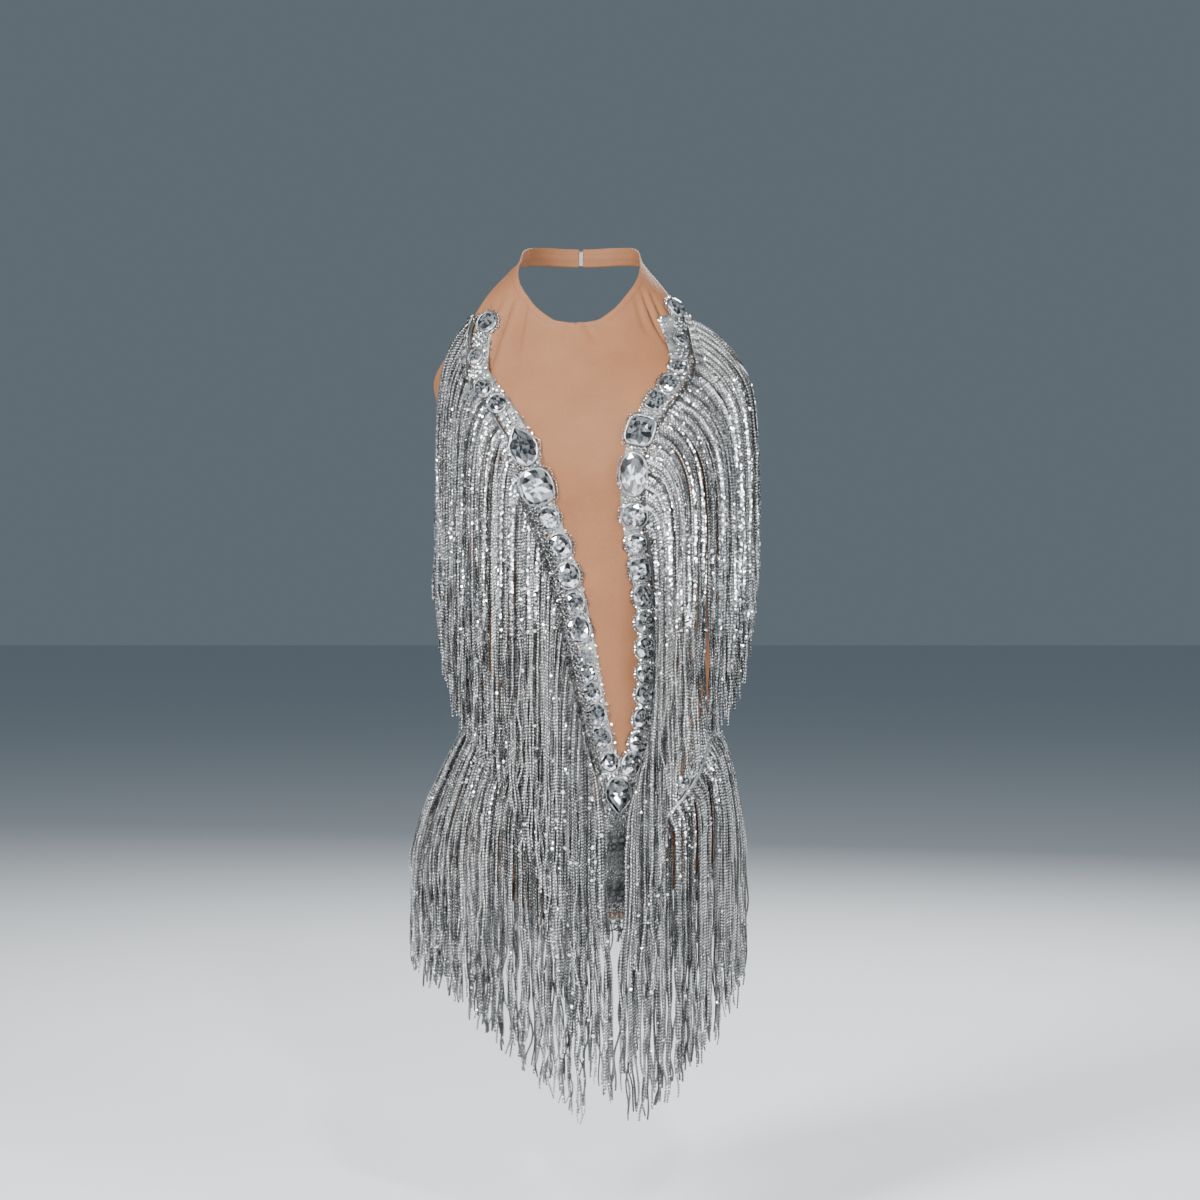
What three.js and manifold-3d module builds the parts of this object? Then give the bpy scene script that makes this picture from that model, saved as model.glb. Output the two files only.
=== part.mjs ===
// A halter-neck dance bodysuit in nude stretch knit, filled out as it is on a wearer and empty inside.
// Two bands of crystals follow a deep V down its front, and a chevron band lies round the hips.
// Every band carries a fringe of twisted metallic cord, here drawn as locks of a few cords each.
// Millimetres, +Z up, the front faces -Y, and the origin is inside the halter at the nape of the neck.
import * as THREE from "three";
import { mergeVertices } from "three/addons/utils/BufferGeometryUtils.js";
import Module from "manifold-3d";

const wasm = await Module();
wasm.setup();

// Driving dimensions, in millimetres and degrees. Angles run round the body from the centre front, 0,
// through the wearer's left side, 90, to the centre back, 180. Heights are measured from the nape.
const cloth = 1.5;
const seamGap = 0.3;
const trimClearance = 1.15;
const bandThickness = 1.2;
const hipBandWidth = 13;
const cupBridge = 0.95;
const trimSpacing = 0.75;
const tapeWidth = 4;
const tapeThickness = 2.4;
const bustFringeLength = 310;
const hipFringeLength = 250;
const lockWidth = 4.9;
const lockDepth = 2.2;
const lengthSpread = 9;
const bustLocksPerSide = 26;
const hipLocksPerFront = 20;
const hipLocksPerBack = 12;

// The general figure that fills the suit: level sections, as two half ellipses that share their width.
// twist turns a section about its centre, the front towards +X, so the hips face away from the chest.
const figure = [
  { z: 20, centreX: 0, centreY: -54, halfWidth: 53, front: 50, back: 54, twist: 0 },
  { z: 0, centreX: 0, centreY: -54, halfWidth: 55, front: 51, back: 54, twist: 0 },
  { z: -10, centreX: 0, centreY: -55, halfWidth: 58, front: 51, back: 56, twist: -1 },
  { z: -20, centreX: -1, centreY: -56, halfWidth: 66, front: 49, back: 62, twist: -1 },
  { z: -45, centreX: -2, centreY: -60, halfWidth: 89, front: 47, back: 70, twist: -2 },
  { z: -75, centreX: -1, centreY: -60, halfWidth: 111, front: 51, back: 76, twist: -3 },
  { z: -100, centreX: 3, centreY: -58, halfWidth: 133, front: 61, back: 82, twist: -5 },
  { z: -130, centreX: 10, centreY: -56, halfWidth: 152, front: 73, back: 86, twist: -8 },
  { z: -165, centreX: 15, centreY: -56, halfWidth: 150, front: 81, back: 88, twist: -9 },
  { z: -205, centreX: 18, centreY: -56, halfWidth: 147, front: 85, back: 87, twist: -9 },
  { z: -250, centreX: 18, centreY: -56, halfWidth: 137, front: 84, back: 84, twist: -6 },
  { z: -300, centreX: 18, centreY: -56, halfWidth: 123, front: 82, back: 80, twist: 2 },
  { z: -350, centreX: 17, centreY: -56, halfWidth: 113, front: 81, back: 77, twist: 10 },
  { z: -400, centreX: 16, centreY: -56, halfWidth: 110, front: 81, back: 76, twist: 15 },
  { z: -450, centreX: 12, centreY: -56, halfWidth: 117, front: 86, back: 82, twist: 18 },
  { z: -500, centreX: 7, centreY: -56, halfWidth: 136, front: 92, back: 94, twist: 19 },
  { z: -550, centreX: 2, centreY: -56, halfWidth: 152, front: 96, back: 108, twist: 19 },
  { z: -580, centreX: 0, centreY: -56, halfWidth: 157, front: 94, back: 110, twist: 19 },
  { z: -605, centreX: 0, centreY: -56, halfWidth: 158, front: 84, back: 100, twist: 19 },
  { z: -625, centreX: -1, centreY: -56, halfWidth: 158, front: 70, back: 84, twist: 19 },
  { z: -660, centreX: -2, centreY: -56, halfWidth: 156, front: 48, back: 55, twist: 18 },
];
const bustCup = { angle: 33, z: -205, swell: 32, spread: 19, riseAbove: 54, riseBelow: 40 };

// Soft drag lines that run down from the halter: troughs in the cloth, from top to foot.
const haulFolds = [
  { topAngle: 52, topZ: -40, footAngle: 34, footZ: -140, width: 7, depth: 1.8 },
  { topAngle: 62, topZ: -45, footAngle: 50, footZ: -118, width: 6, depth: 1.5 },
];

// Cut of the front below the neckline: rows that run from the centre front to the leg, side and armhole.
const frontRows = [
  { row: 0, centreZ: -622, sideAngle: 14, sideZ: -622 },
  { row: 1, centreZ: -607, sideAngle: 36, sideZ: -593 },
  { row: 2, centreZ: -588, sideAngle: 62, sideZ: -567 },
  { row: 3, centreZ: -564, sideAngle: 82, sideZ: -541 },
  { row: 4, centreZ: -534, sideAngle: 90, sideZ: -512 },
  { row: 5, centreZ: -495, sideAngle: 90, sideZ: -476 },
  { row: 6, centreZ: -443, sideAngle: 90, sideZ: -430 },
  { row: 7, centreZ: -388, sideAngle: 90, sideZ: -382 },
  { row: 8, centreZ: -334, sideAngle: 90, sideZ: -332 },
  { row: 9, centreZ: -286, sideAngle: 90, sideZ: -285 },
  { row: 10, centreZ: -246, sideAngle: 90, sideZ: -244 },
  { row: 11, centreZ: -210, sideAngle: 90, sideZ: -204 },
  { row: 12, centreZ: -174, sideAngle: 90, sideZ: -162 },
  { row: 13, centreZ: -140, sideAngle: 86, sideZ: -140 },
  { row: 14, centreZ: -106, sideAngle: 78.5, sideZ: -114 },
  { row: 15, centreZ: -75, sideAngle: 73.5, sideZ: -88 },
];

// Cut of the halter: rows from the neckline to the armhole, from the centre front round to the nape.
const halterRows = [
  { row: 0, neckAngle: 0, neckZ: -75, armAngle: 73.5, armZ: -88 },
  { row: 1, neckAngle: 9, neckZ: -73, armAngle: 73, armZ: -77 },
  { row: 2, neckAngle: 19, neckZ: -63, armAngle: 73.5, armZ: -64 },
  { row: 3, neckAngle: 32, neckZ: -46, armAngle: 75, armZ: -47 },
  { row: 4, neckAngle: 47, neckZ: -31, armAngle: 79, armZ: -32 },
  { row: 5, neckAngle: 61, neckZ: -19.5, armAngle: 86, armZ: -22 },
  { row: 6, neckAngle: 78, neckZ: -8, armAngle: 97, armZ: -15 },
  { row: 7, neckAngle: 100, neckZ: 3, armAngle: 113, armZ: -11 },
  { row: 8, neckAngle: 125, neckZ: 9, armAngle: 133, armZ: -8 },
  { row: 9, neckAngle: 152, neckZ: 11, armAngle: 155, armZ: -7 },
  { row: 10, neckAngle: 178, neckZ: 11, armAngle: 178, armZ: -7 },
];
const neckSeamRow = 6;
const strapEndRow = 10;

// Cut of the back: rows from the centre back to the leg and side. Its top edge dips to a low back.
// From row 4 up the front and back share the side seam, so their rows end at the same heights.
const backRows = [
  { row: 0, centreZ: -612, sideAngle: 156, sideZ: -612 },
  { row: 1, centreZ: -598, sideAngle: 132, sideZ: -590 },
  { row: 2, centreZ: -580, sideAngle: 112, sideZ: -567 },
  { row: 3, centreZ: -556, sideAngle: 98, sideZ: -541 },
  { row: 4, centreZ: -526, sideAngle: 90, sideZ: -512 },
  { row: 5, centreZ: -493, sideAngle: 90, sideZ: -476 },
  { row: 6, centreZ: -458, sideAngle: 90, sideZ: -430 },
  { row: 7, centreZ: -424, sideAngle: 90, sideZ: -382 },
  { row: 8, centreZ: -392, sideAngle: 90, sideZ: -332 },
  { row: 9, centreZ: -363, sideAngle: 90, sideZ: -285 },
  { row: 10, centreZ: -338, sideAngle: 90, sideZ: -244 },
  { row: 11, centreZ: -317, sideAngle: 90, sideZ: -204 },
  { row: 12, centreZ: -300, sideAngle: 90, sideZ: -162 },
];
const sideSeamRow = 4;

// The V band from the top down: its middle's distance from the centre front, alike on both sides,
// its width, and where the fringe sewn on there hangs once it has swung outwards, along X.
const vBandLine = [
  { row: 0, across: 84, z: -66, width: 19, hangLeft: 168.5, hangRight: -137.3 },
  { row: 1, across: 92, z: -92, width: 19, hangLeft: 152, hangRight: -133.1 },
  { row: 2, across: 94, z: -116, width: 19, hangLeft: 148.1, hangRight: -111.7 },
  { row: 3, across: 84, z: -138, width: 19, hangLeft: 144.8, hangRight: -106.2 },
  { row: 4, across: 69, z: -160, width: 20, hangLeft: 139, hangRight: -97.9 },
  { row: 5, across: 54, z: -188, width: 21, hangLeft: 118.8, hangRight: -80.6 },
  { row: 6, across: 43, z: -228, width: 21, hangLeft: 104.1, hangRight: -68.3 },
  { row: 7, across: 36, z: -270, width: 20, hangLeft: 100.9, hangRight: -48.9 },
  { row: 8, across: 31.5, z: -325, width: 19, hangLeft: 87.8, hangRight: -32 },
  { row: 9, across: 29, z: -378, width: 19, hangLeft: 83.4, hangRight: -19.8 },
  { row: 10, across: 24.5, z: -424, width: 18, hangLeft: 77.1, hangRight: -9.4 },
  { row: 11, across: 17, z: -464, width: 17, hangLeft: 67.1, hangRight: 2.8 },
  { row: 12, across: 9.5, z: -496, width: 17, hangLeft: 53.5, hangRight: 15.8 },
];

// Middle of the hip band, by angle: low at the centre front, high at the sides, level round the back.
const hipBandLine = [
  { angle: 5, z: -556 },
  { angle: 25, z: -515 },
  { angle: 50, z: -466 },
  { angle: 75, z: -436 },
  { angle: 105, z: -424 },
  { angle: 140, z: -430 },
  { angle: 180, z: -438 },
];

// The angles from the centre front at which the hip band and its fringe begin.
const hipBandStart = { left: 3, right: 6 };

// Crystals of the V band from the top down: place along the band and size across and along it.
const vStones = [
  { at: 0.014, wide: 17, long: 17 },
  { at: 0.07, wide: 14, long: 17 },
  { at: 0.13, wide: 14, long: 18 },
  { at: 0.19, wide: 14, long: 18 },
  { at: 0.252, wide: 15, long: 20 },
  { at: 0.328, wide: 18, long: 28 },
  { at: 0.408, wide: 20, long: 24 },
  { at: 0.475, wide: 18, long: 18 },
  { at: 0.537, wide: 17, long: 20 },
  { at: 0.602, wide: 16, long: 20 },
  { at: 0.668, wide: 16, long: 20 },
  { at: 0.735, wide: 15, long: 20 },
  { at: 0.802, wide: 15, long: 19 },
  { at: 0.872, wide: 15, long: 19 },
  { at: 0.945, wide: 14, long: 19 },
];
const hipStones = [
  { at: 0.08, wide: 10, long: 12 },
  { at: 0.27, wide: 11, long: 14 },
  { at: 0.42, wide: 12, long: 15 },
  { at: 0.58, wide: 11, long: 14 },
  { at: 0.85, wide: 10, long: 12 },
];
const dropStone = { z: -516, wide: 24, long: 32, height: 6, base: 1.2, clearance: 0.55 };
const stoneHeight = 5;
const stoneSunk = 0.6;
const hipStoneHeight = 3.2;
const stoneSides = 6;

// Silver panel on the lower front, between the hip bands.
const silverPanel = { topZ: -534, footZ: -619, topAngle: 9, footAngle: 12.5, lift: 0.9, thickness: 0.8 };

// Nape closure: a flat hook plate that bridges the two strap ends.
const napeClasp = { width: 16, height: 14, thickness: 1.6 };

const radians = THREE.MathUtils.degToRad;
const clamp = THREE.MathUtils.clamp;
const lerp = THREE.MathUtils.lerp;

// Smooth curve through one column of a table, with no overshoot: slopes are harmonic means.
function smoothColumn(table, key, name) {
  const rows = [...table].sort((a, b) => a[key] - b[key]);
  const at = rows.map((row) => row[key]);
  const value = rows.map((row) => row[name]);
  const rise = at.slice(1).map((next, i) => (value[i + 1] - value[i]) / (next - at[i]));
  const slope = at.map((_, i) => {
    if (i === 0) return rise[0];
    if (i === at.length - 1) return rise[i - 1];
    const product = rise[i - 1] * rise[i];
    return product <= 0 ? 0 : (2 * product) / (rise[i - 1] + rise[i]);
  });
  return (where) => {
    const place = clamp(where, at[0], at[at.length - 1]);
    let i = 0;
    while (i < at.length - 2 && place > at[i + 1]) i++;
    const span = at[i + 1] - at[i];
    const t = (place - at[i]) / span;
    const s = 1 - t;
    return (
      value[i] * (1 + 2 * t) * s * s +
      span * slope[i] * t * s * s +
      value[i + 1] * t * t * (3 - 2 * t) -
      span * slope[i + 1] * t * t * s
    );
  };
}

const smoothTable = (table, key, names) =>
  Object.fromEntries(names.map((name) => [name, smoothColumn(table, key, name)]));

const section = smoothTable(figure, "z", [
  "centreX",
  "centreY",
  "halfWidth",
  "front",
  "back",
  "twist",
]);
const front = smoothTable(frontRows, "row", ["centreZ", "sideAngle", "sideZ"]);
const halter = smoothTable(halterRows, "row", ["neckAngle", "neckZ", "armAngle", "armZ"]);
const back = smoothTable(backRows, "row", ["centreZ", "sideAngle", "sideZ"]);
const vBand = smoothTable(vBandLine, "row", ["across", "z", "width", "hangLeft", "hangRight"]);
const hipBand = smoothTable(hipBandLine, "angle", ["z"]);

// How far the cloth stands forward over each bust cup: a rounded swell, shorter below than above.
function cupSwell(angle, z) {
  const rise = z > bustCup.z ? bustCup.riseAbove : bustCup.riseBelow;
  const height = Math.exp(-(((z - bustCup.z) / rise) ** 2) / 2);
  const bump = (centre) => Math.exp(-(((angle - centre) / bustCup.spread) ** 2) / 2);
  return bustCup.swell * height * (bump(bustCup.angle) + bump(-bustCup.angle));
}

// Depth of the drag lines at a point: each is a trough along its line that fades at both ends.
function foldDepth(angle, z) {
  let depth = 0;
  for (const fold of haulFolds) {
    const t = (fold.topZ - z) / (fold.topZ - fold.footZ);
    if (t <= 0 || t >= 1) continue;
    const middle = lerp(fold.topAngle, fold.footAngle, t);
    const off = (radians(Math.abs(angle) - middle) * section.halfWidth(z)) / fold.width;
    depth += fold.depth * Math.sin(Math.PI * t) * Math.exp(-off * off);
  }
  return depth;
}

// Distances of the figure's skin from its section's centre, to the side and to the front.
function sectionPoint(angle, z) {
  const sine = Math.sin(radians(angle));
  const cosine = Math.cos(radians(angle));
  const reach = cosine > 0 ? section.front(z) : section.back(z);
  const across = section.halfWidth(z) * sine;
  const forward = reach * cosine;
  const inward = 1 - foldDepth(angle, z) / Math.hypot(across, forward);
  const swell = cosine > 0 ? cupSwell(angle, z) : 0;
  return { across: across * inward, forward: forward * inward + swell };
}

// A place given by its distances from the section's centre, in the part's own axes.
function placed(across, forward, z) {
  const turn = radians(section.twist(z));
  return new THREE.Vector3(
    section.centreX(z) + across * Math.cos(turn) + forward * Math.sin(turn),
    section.centreY(z) + across * Math.sin(turn) - forward * Math.cos(turn),
    z,
  );
}

function skin(angle, z) {
  const { across, forward } = sectionPoint(angle, z);
  return placed(across, forward, z);
}

function outwardAt(angle, z) {
  const step = 0.5;
  const round = skin(angle + step, z).sub(skin(angle - step, z));
  const up = skin(angle, z + step).sub(skin(angle, z - step));
  return round.cross(up).normalize();
}

// A point that lies a given distance outside the skin.
const lifted = (angle, z, lift) => skin(angle, z).addScaledVector(outwardAt(angle, z), lift);

// The angle at which the skin lies a given distance to the side of the centre front.
function angleAcross(across, z) {
  let low = -89;
  let high = 89;
  for (let i = 0; i < 40; i++) {
    const middle = (low + high) / 2;
    if (sectionPoint(middle, z).across < across) low = middle;
    else high = middle;
  }
  return (low + high) / 2;
}

// Triangles collected as one soup of corner points, and closed into a solid whose faces point out.
class Soup {
  corners = [];
  triangle(a, b, c) {
    this.corners.push(a, b, c);
  }
  quad(a, b, c, d) {
    this.triangle(a, b, c);
    this.triangle(a, c, d);
  }
  solid() {
    const flat = this.corners.flatMap((p) => [p.x, p.y, p.z]);
    const soup = new THREE.BufferGeometry();
    soup.setAttribute("position", new THREE.BufferAttribute(new Float32Array(flat), 3));
    const merged = mergeVertices(soup, 1e-3);
    const order = [...merged.index.array];
    const kept = [];
    for (let i = 0; i < order.length; i += 3) {
      const [a, b, c] = order.slice(i, i + 3);
      if (a !== b && b !== c && c !== a) kept.push(a, b, c);
    }
    const make = (triVerts) =>
      new wasm.Manifold(
        new wasm.Mesh({
          numProp: 3,
          vertProperties: merged.attributes.position.array,
          triVerts: new Uint32Array(triVerts),
        }),
      );
    const made = make(kept);
    return made.volume() > 0 ? made : make(kept.reverse());
  }
}

// A wall between an inner and an outer grid of points. The rims are closed, apart from the length of
// the starting side that another grid continues.
function addWall(soup, outer, inner, { openStartRows = 0 } = {}) {
  const rows = outer.length - 1;
  const columns = outer[0].length - 1;
  for (let j = 0; j < rows; j++) {
    for (let i = 0; i < columns; i++) {
      soup.quad(outer[j][i], outer[j][i + 1], outer[j + 1][i + 1], outer[j + 1][i]);
      soup.quad(inner[j][i], inner[j + 1][i], inner[j + 1][i + 1], inner[j][i + 1]);
    }
    soup.quad(outer[j + 1][columns], outer[j][columns], inner[j][columns], inner[j + 1][columns]);
    if (j >= openStartRows) soup.quad(outer[j][0], outer[j + 1][0], inner[j + 1][0], inner[j][0]);
  }
  for (let i = 0; i < columns; i++) {
    soup.quad(inner[0][i], inner[0][i + 1], outer[0][i + 1], outer[0][i]);
    soup.quad(outer[rows][i], outer[rows][i + 1], inner[rows][i + 1], inner[rows][i]);
  }
}

// Rows of places, as angle and height, made into the two faces of a wall that lies on the skin.
function clothGrids(places, side, lift, thickness) {
  const face = (height) =>
    places.map((row) => row.map(({ angle, z }) => lifted(side * angle, z, height)));
  return { outer: face(lift + thickness), inner: face(lift) };
}

function steps(count, from, to) {
  return Array.from({ length: count + 1 }, (_, i) => lerp(from, to, i / count));
}

// A row of places from one end to the other, in equal steps.
function rowBetween(startAngle, startZ, endAngle, endZ, count) {
  return steps(count, 0, 1).map((t) => ({
    angle: lerp(startAngle, endAngle, t),
    z: lerp(startZ, endZ, t),
  }));
}

const seamAngle = 0.1;

// Where a front row's columns stand, as shares of the row: closer over the bust than at the side.
const frontShares = [0, 0.08, 0.16, 0.24, 0.32, 0.4, 0.49, 0.6, 0.73, 0.87, 1];
const backShares = steps(8, 0, 1);
const level = (t) => t;
const scooped = (t) => t * t * (1.7 - 0.7 * t);

function rowAtShares(startAngle, startZ, endAngle, endZ, shares, rise = level) {
  return shares.map((t) => ({ angle: lerp(startAngle, endAngle, t), z: lerp(startZ, endZ, rise(t)) }));
}

const halterRow = (row, shares) =>
  rowAtShares(
    halter.neckAngle(row),
    halter.neckZ(row),
    halter.armAngle(row),
    halter.armZ(row),
    shares,
  );

// The front's places, for one half: up from the leg line, then on up the halter.
const frontLowerSteps = 25;
const frontUpperSteps = 8;
const frontPlaces = [
  ...steps(frontLowerSteps, 0, frontRows.length - 1).map((row) =>
    rowAtShares(
      0,
      front.centreZ(row),
      Math.min(front.sideAngle(row), 90 - seamAngle),
      front.sideZ(row),
      frontShares,
    ),
  ),
  ...steps(frontUpperSteps, 0, neckSeamRow)
    .slice(1)
    .map((row) => halterRow(row, frontShares)),
];

// The back's places, for one half: up from the leg line to the low back edge.
const backPlaces = steps(frontLowerSteps, 0, frontRows.length - 1)
  .filter((row) => row <= backRows.length - 1 + 1e-6)
  .map((row) =>
    rowAtShares(
      180,
      back.centreZ(row),
      Math.max(back.sideAngle(row), 90 + seamAngle),
      row > sideSeamRow ? front.sideZ(row) : back.sideZ(row),
      backShares,
      scooped,
    ),
  );

// Both halves of a panel as one solid, joined along the centre line up to a given row.
function panelSolid(places, joinedRows) {
  const soup = new Soup();
  for (const side of [1, -1]) {
    const { outer, inner } = clothGrids(places, side, 0, cloth);
    const half = new Soup();
    addWall(half, outer, inner, { openStartRows: joinedRows });
    if (side < 0) half.corners.reverse();
    soup.corners.push(...half.corners);
  }
  return soup.solid();
}

// The front: one piece from the leg line to the neckline, with the halter's two straps cut on.
const frontPanel = () => panelSolid(frontPlaces, frontLowerSteps);

// The back: one piece from the leg line to the low back edge.
const backPanel = () => panelSolid(backPlaces, backPlaces.length - 1);

// The place in the angle and height plane as shares of a triangle's three corners.
function cornerShares(place, a, b, c) {
  const cross = (o, p, q) => (p.angle - o.angle) * (q.z - o.z) - (p.z - o.z) * (q.angle - o.angle);
  const whole = cross(a, b, c);
  return [cross(place, b, c) / whole, cross(place, c, a) / whole, cross(place, a, b) / whole];
}

// The point of a panel's outer face, flats and all, at an angle and height, or none off the panel.
function facePoint(places, angle, z) {
  const place = { angle: Math.abs(angle), z };
  const side = angle < 0 ? -1 : 1;
  const slack = 1e-6;
  for (let j = 0; j < places.length - 1; j++) {
    for (let i = 0; i < places[j].length - 1; i++) {
      const corners = [places[j][i], places[j][i + 1], places[j + 1][i + 1], places[j + 1][i]];
      if (corners.every((corner) => corner.z < z) || corners.every((corner) => corner.z > z)) continue;
      for (const [a, b, c] of [[corners[0], corners[1], corners[2]], [corners[0], corners[2], corners[3]]]) {
        const shares = cornerShares(place, a, b, c);
        if (Math.min(...shares) < -slack) continue;
        const point = new THREE.Vector3();
        [a, b, c].forEach((corner, k) =>
          point.addScaledVector(lifted(side * corner.angle, corner.z, cloth), shares[k]),
        );
        return point;
      }
    }
  }
  return null;
}

// A point a given distance outside the cloth's outer face. Past a panel's edge it follows the figure.
function onCloth(angle, z, lift) {
  const face =
    facePoint(frontPlaces, angle, z) ?? facePoint(backPlaces, angle, z) ?? lifted(angle, z, cloth);
  return face.addScaledVector(outwardAt(angle, z), lift);
}

// One end of the halter, from its seam at the side of the neck round to the nape.
function halterStrap(side) {
  const rowSeam = 0.026;
  const places = steps(9, neckSeamRow + rowSeam, strapEndRow).map((row) => halterRow(row, [0, 0.5, 1]));
  const { outer, inner } = clothGrids(places, side, 0, cloth);
  const soup = new Soup();
  addWall(soup, outer, inner);
  return soup.solid();
}

// The crotch gusset: a strip that leaves the front seam, passes under the body and reaches the back.
function crotchGusset() {
  const columns = 6;
  const rows = 8;
  const startZ = frontRows[0].centreZ - seamGap;
  const endZ = backRows[0].centreZ - seamGap;
  const frontHalf = frontRows[0].sideAngle;
  const backHalf = 180 - backRows[0].sideAngle;
  const frontDrop = new THREE.Vector3(0, 20, -26);
  const backDrop = new THREE.Vector3(0, -26, -34);
  const narrowing = 0.82;
  const centreFront = skin(0, startZ);
  const face = (lift) =>
    steps(rows, 0, 1).map((t) =>
      steps(columns, -1, 1).map((u) => {
        const start = lifted(frontHalf * u, startZ, lift);
        const end = lifted(180 - backHalf * u, endZ, lift);
        const startOut = new THREE.Vector3(0, 0, -lift);
        const leave = start.clone().add(frontDrop).add(startOut);
        const arrive = end.clone().add(backDrop).add(startOut);
        leave.x = lerp(centreFront.x, leave.x, narrowing);
        arrive.x = lerp(centreFront.x, arrive.x, narrowing * 0.8);
        return new THREE.CubicBezierCurve3(start, leave, arrive, end).getPoint(t);
      }),
    );
  const soup = new Soup();
  addWall(soup, face(cloth), face(0));
  return soup.solid();
}

// A flat strip over the cloth, through rows of places, at a height that may change from place to place.
function stripSolid(places, lift, thickness) {
  const face = (height) =>
    places.map((row) => row.map(({ angle, z }) => onCloth(angle, z, lift(angle, z) + height)));
  const soup = new Soup();
  addWall(soup, face(thickness), face(0));
  return soup.solid();
}

// The silver panel sewn to the lower front, widening a little to the crotch seam.
function silverFrontPanel() {
  const rows = 9;
  const places = steps(rows, 0, 1).map((t) => {
    const half = lerp(silverPanel.footAngle, silverPanel.topAngle, t);
    const z = lerp(silverPanel.footZ, silverPanel.topZ, t);
    return rowBetween(-half, z, half, z, 4);
  });
  return stripSolid(places, () => silverPanel.lift, silverPanel.thickness);
}

// How high trim lies: just clear of the cloth, a little more where it bridges the fullness of a cup,
// and over the silver panel where that is.
function trimLift(angle, z) {
  const bridge = (cupBridge * cupSwell(angle, z)) / bustCup.swell;
  const half = silverPanel.footAngle;
  const over = 1 - THREE.MathUtils.smoothstep(Math.abs(angle), half, half + 5);
  const low = 1 - THREE.MathUtils.smoothstep(z, silverPanel.topZ, silverPanel.topZ + 12);
  return trimClearance + bridge + (silverPanel.lift + silverPanel.thickness) * over * low;
}

// A place beside the V band's middle: offset is measured away from the centre front.
function vBandPlace(side, row, offset) {
  const step = 0.05;
  const last = vBandLine.length - 1;
  const ahead = Math.min(row + step, last);
  const behind = Math.max(row - step, 0);
  const run = vBand.across(ahead) - vBand.across(behind);
  const drop = vBand.z(ahead) - vBand.z(behind);
  const length = Math.hypot(run, drop);
  const across = vBand.across(row) - (drop / length) * offset;
  const z = vBand.z(row) + (run / length) * offset;
  return { angle: side * angleAcross(across, z), z };
}

// A place beside the hip band's middle: offset is measured downwards across the band.
function hipBandPlace(angle, offset) {
  const step = 0.5;
  const turn = Math.abs(angle);
  const run = radians(2 * step) * section.halfWidth(hipBand.z(turn));
  const rise = hipBand.z(turn + step) - hipBand.z(turn - step);
  const length = Math.hypot(run, rise);
  const turnShift = (2 * step * offset * rise) / (length * run);
  return {
    angle: Math.sign(angle) * (turn + turnShift),
    z: hipBand.z(turn) - (offset * run) / length,
  };
}

// A faceted crystal: a bevelled crown on a straight girdle, set on the trim with its base sunk in.
function crystalSolid({ centre, out, along }, wide, long, height, sunk) {
  const across = new THREE.Vector3().crossVectors(along, out).normalize();
  const ring = (spread, rise) =>
    steps(stoneSides - 1, 0, stoneSides - 1).map((k) => {
      const turn = (2 * Math.PI * (k + 0.5)) / stoneSides;
      return centre
        .clone()
        .addScaledVector(across, (Math.cos(turn) * wide * spread) / 2)
        .addScaledVector(along, (Math.sin(turn) * long * spread) / 2)
        .addScaledVector(out, rise);
    });
  const [foot, girdle, table] = [ring(1, -sunk), ring(1, height * 0.35), ring(0.62, height)];
  const soup = new Soup();
  for (let k = 0; k < stoneSides; k++) {
    const next = (k + 1) % stoneSides;
    soup.quad(foot[k], foot[next], girdle[next], girdle[k]);
    soup.quad(girdle[k], girdle[next], table[next], table[k]);
  }
  for (let k = 1; k < stoneSides - 1; k++) {
    soup.triangle(foot[0], foot[k + 1], foot[k]);
    soup.triangle(table[0], table[k], table[k + 1]);
  }
  return soup.solid();
}

// Where a crystal sits on a band: its place, the outward direction and the band's own direction.
function seat(place, aheadPlace, lift) {
  const centre = onCloth(place.angle, place.z, lift);
  const out = outwardAt(place.angle, place.z);
  const along = onCloth(aheadPlace.angle, aheadPlace.z, lift).sub(centre);
  along.addScaledVector(out, -along.dot(out)).normalize();
  return { centre, out, along };
}

const vBandEnd = vBandLine.length - 1;

// One side's V band, with its crystals fused on.
function vStoneBand(side) {
  const places = steps(27, 0, vBandEnd).map((row) =>
    [-0.5, 0, 0.5].map((share) => vBandPlace(side, row, share * vBand.width(row))),
  );
  let band = stripSolid(places, trimLift, bandThickness);
  for (const stone of vStones) {
    const row = stone.at * vBandEnd;
    const place = vBandPlace(side, row, 0);
    const ahead = vBandPlace(side, row + 0.1, 0);
    const on = seat(place, ahead, trimLift(place.angle, place.z) + bandThickness);
    band = band.add(crystalSolid(on, stone.wide, stone.long, stoneHeight, stoneSunk));
  }
  return band;
}

// A stretch of hip band between two angles, with a given list of crystals fused on.
function hipStoneBand(fromAngle, toAngle, stones) {
  const half = hipBandWidth / 2;
  const count = Math.round(Math.abs(toAngle - fromAngle) / 7);
  const places = steps(count, fromAngle, toAngle).map((angle) => [
    hipBandPlace(angle, -half),
    hipBandPlace(angle, half),
  ]);
  let band = stripSolid(places, trimLift, bandThickness);
  for (const stone of stones) {
    const angle = lerp(fromAngle, toAngle, stone.at);
    const place = hipBandPlace(angle, 0);
    const ahead = hipBandPlace(angle + 1, 0);
    const on = seat(place, ahead, trimLift(place.angle, place.z) + bandThickness);
    band = band.add(crystalSolid(on, stone.long, stone.wide, hipStoneHeight, stoneSunk));
  }
  return band;
}

// The large drop crystal where the two V bands meet.
function vDropStone() {
  const place = { angle: 0, z: dropStone.z };
  const on = seat(place, { angle: 0, z: dropStone.z - 2 }, dropStone.clearance + dropStone.base);
  return crystalSolid(on, dropStone.wide, dropStone.long, dropStone.height, dropStone.base);
}

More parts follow.
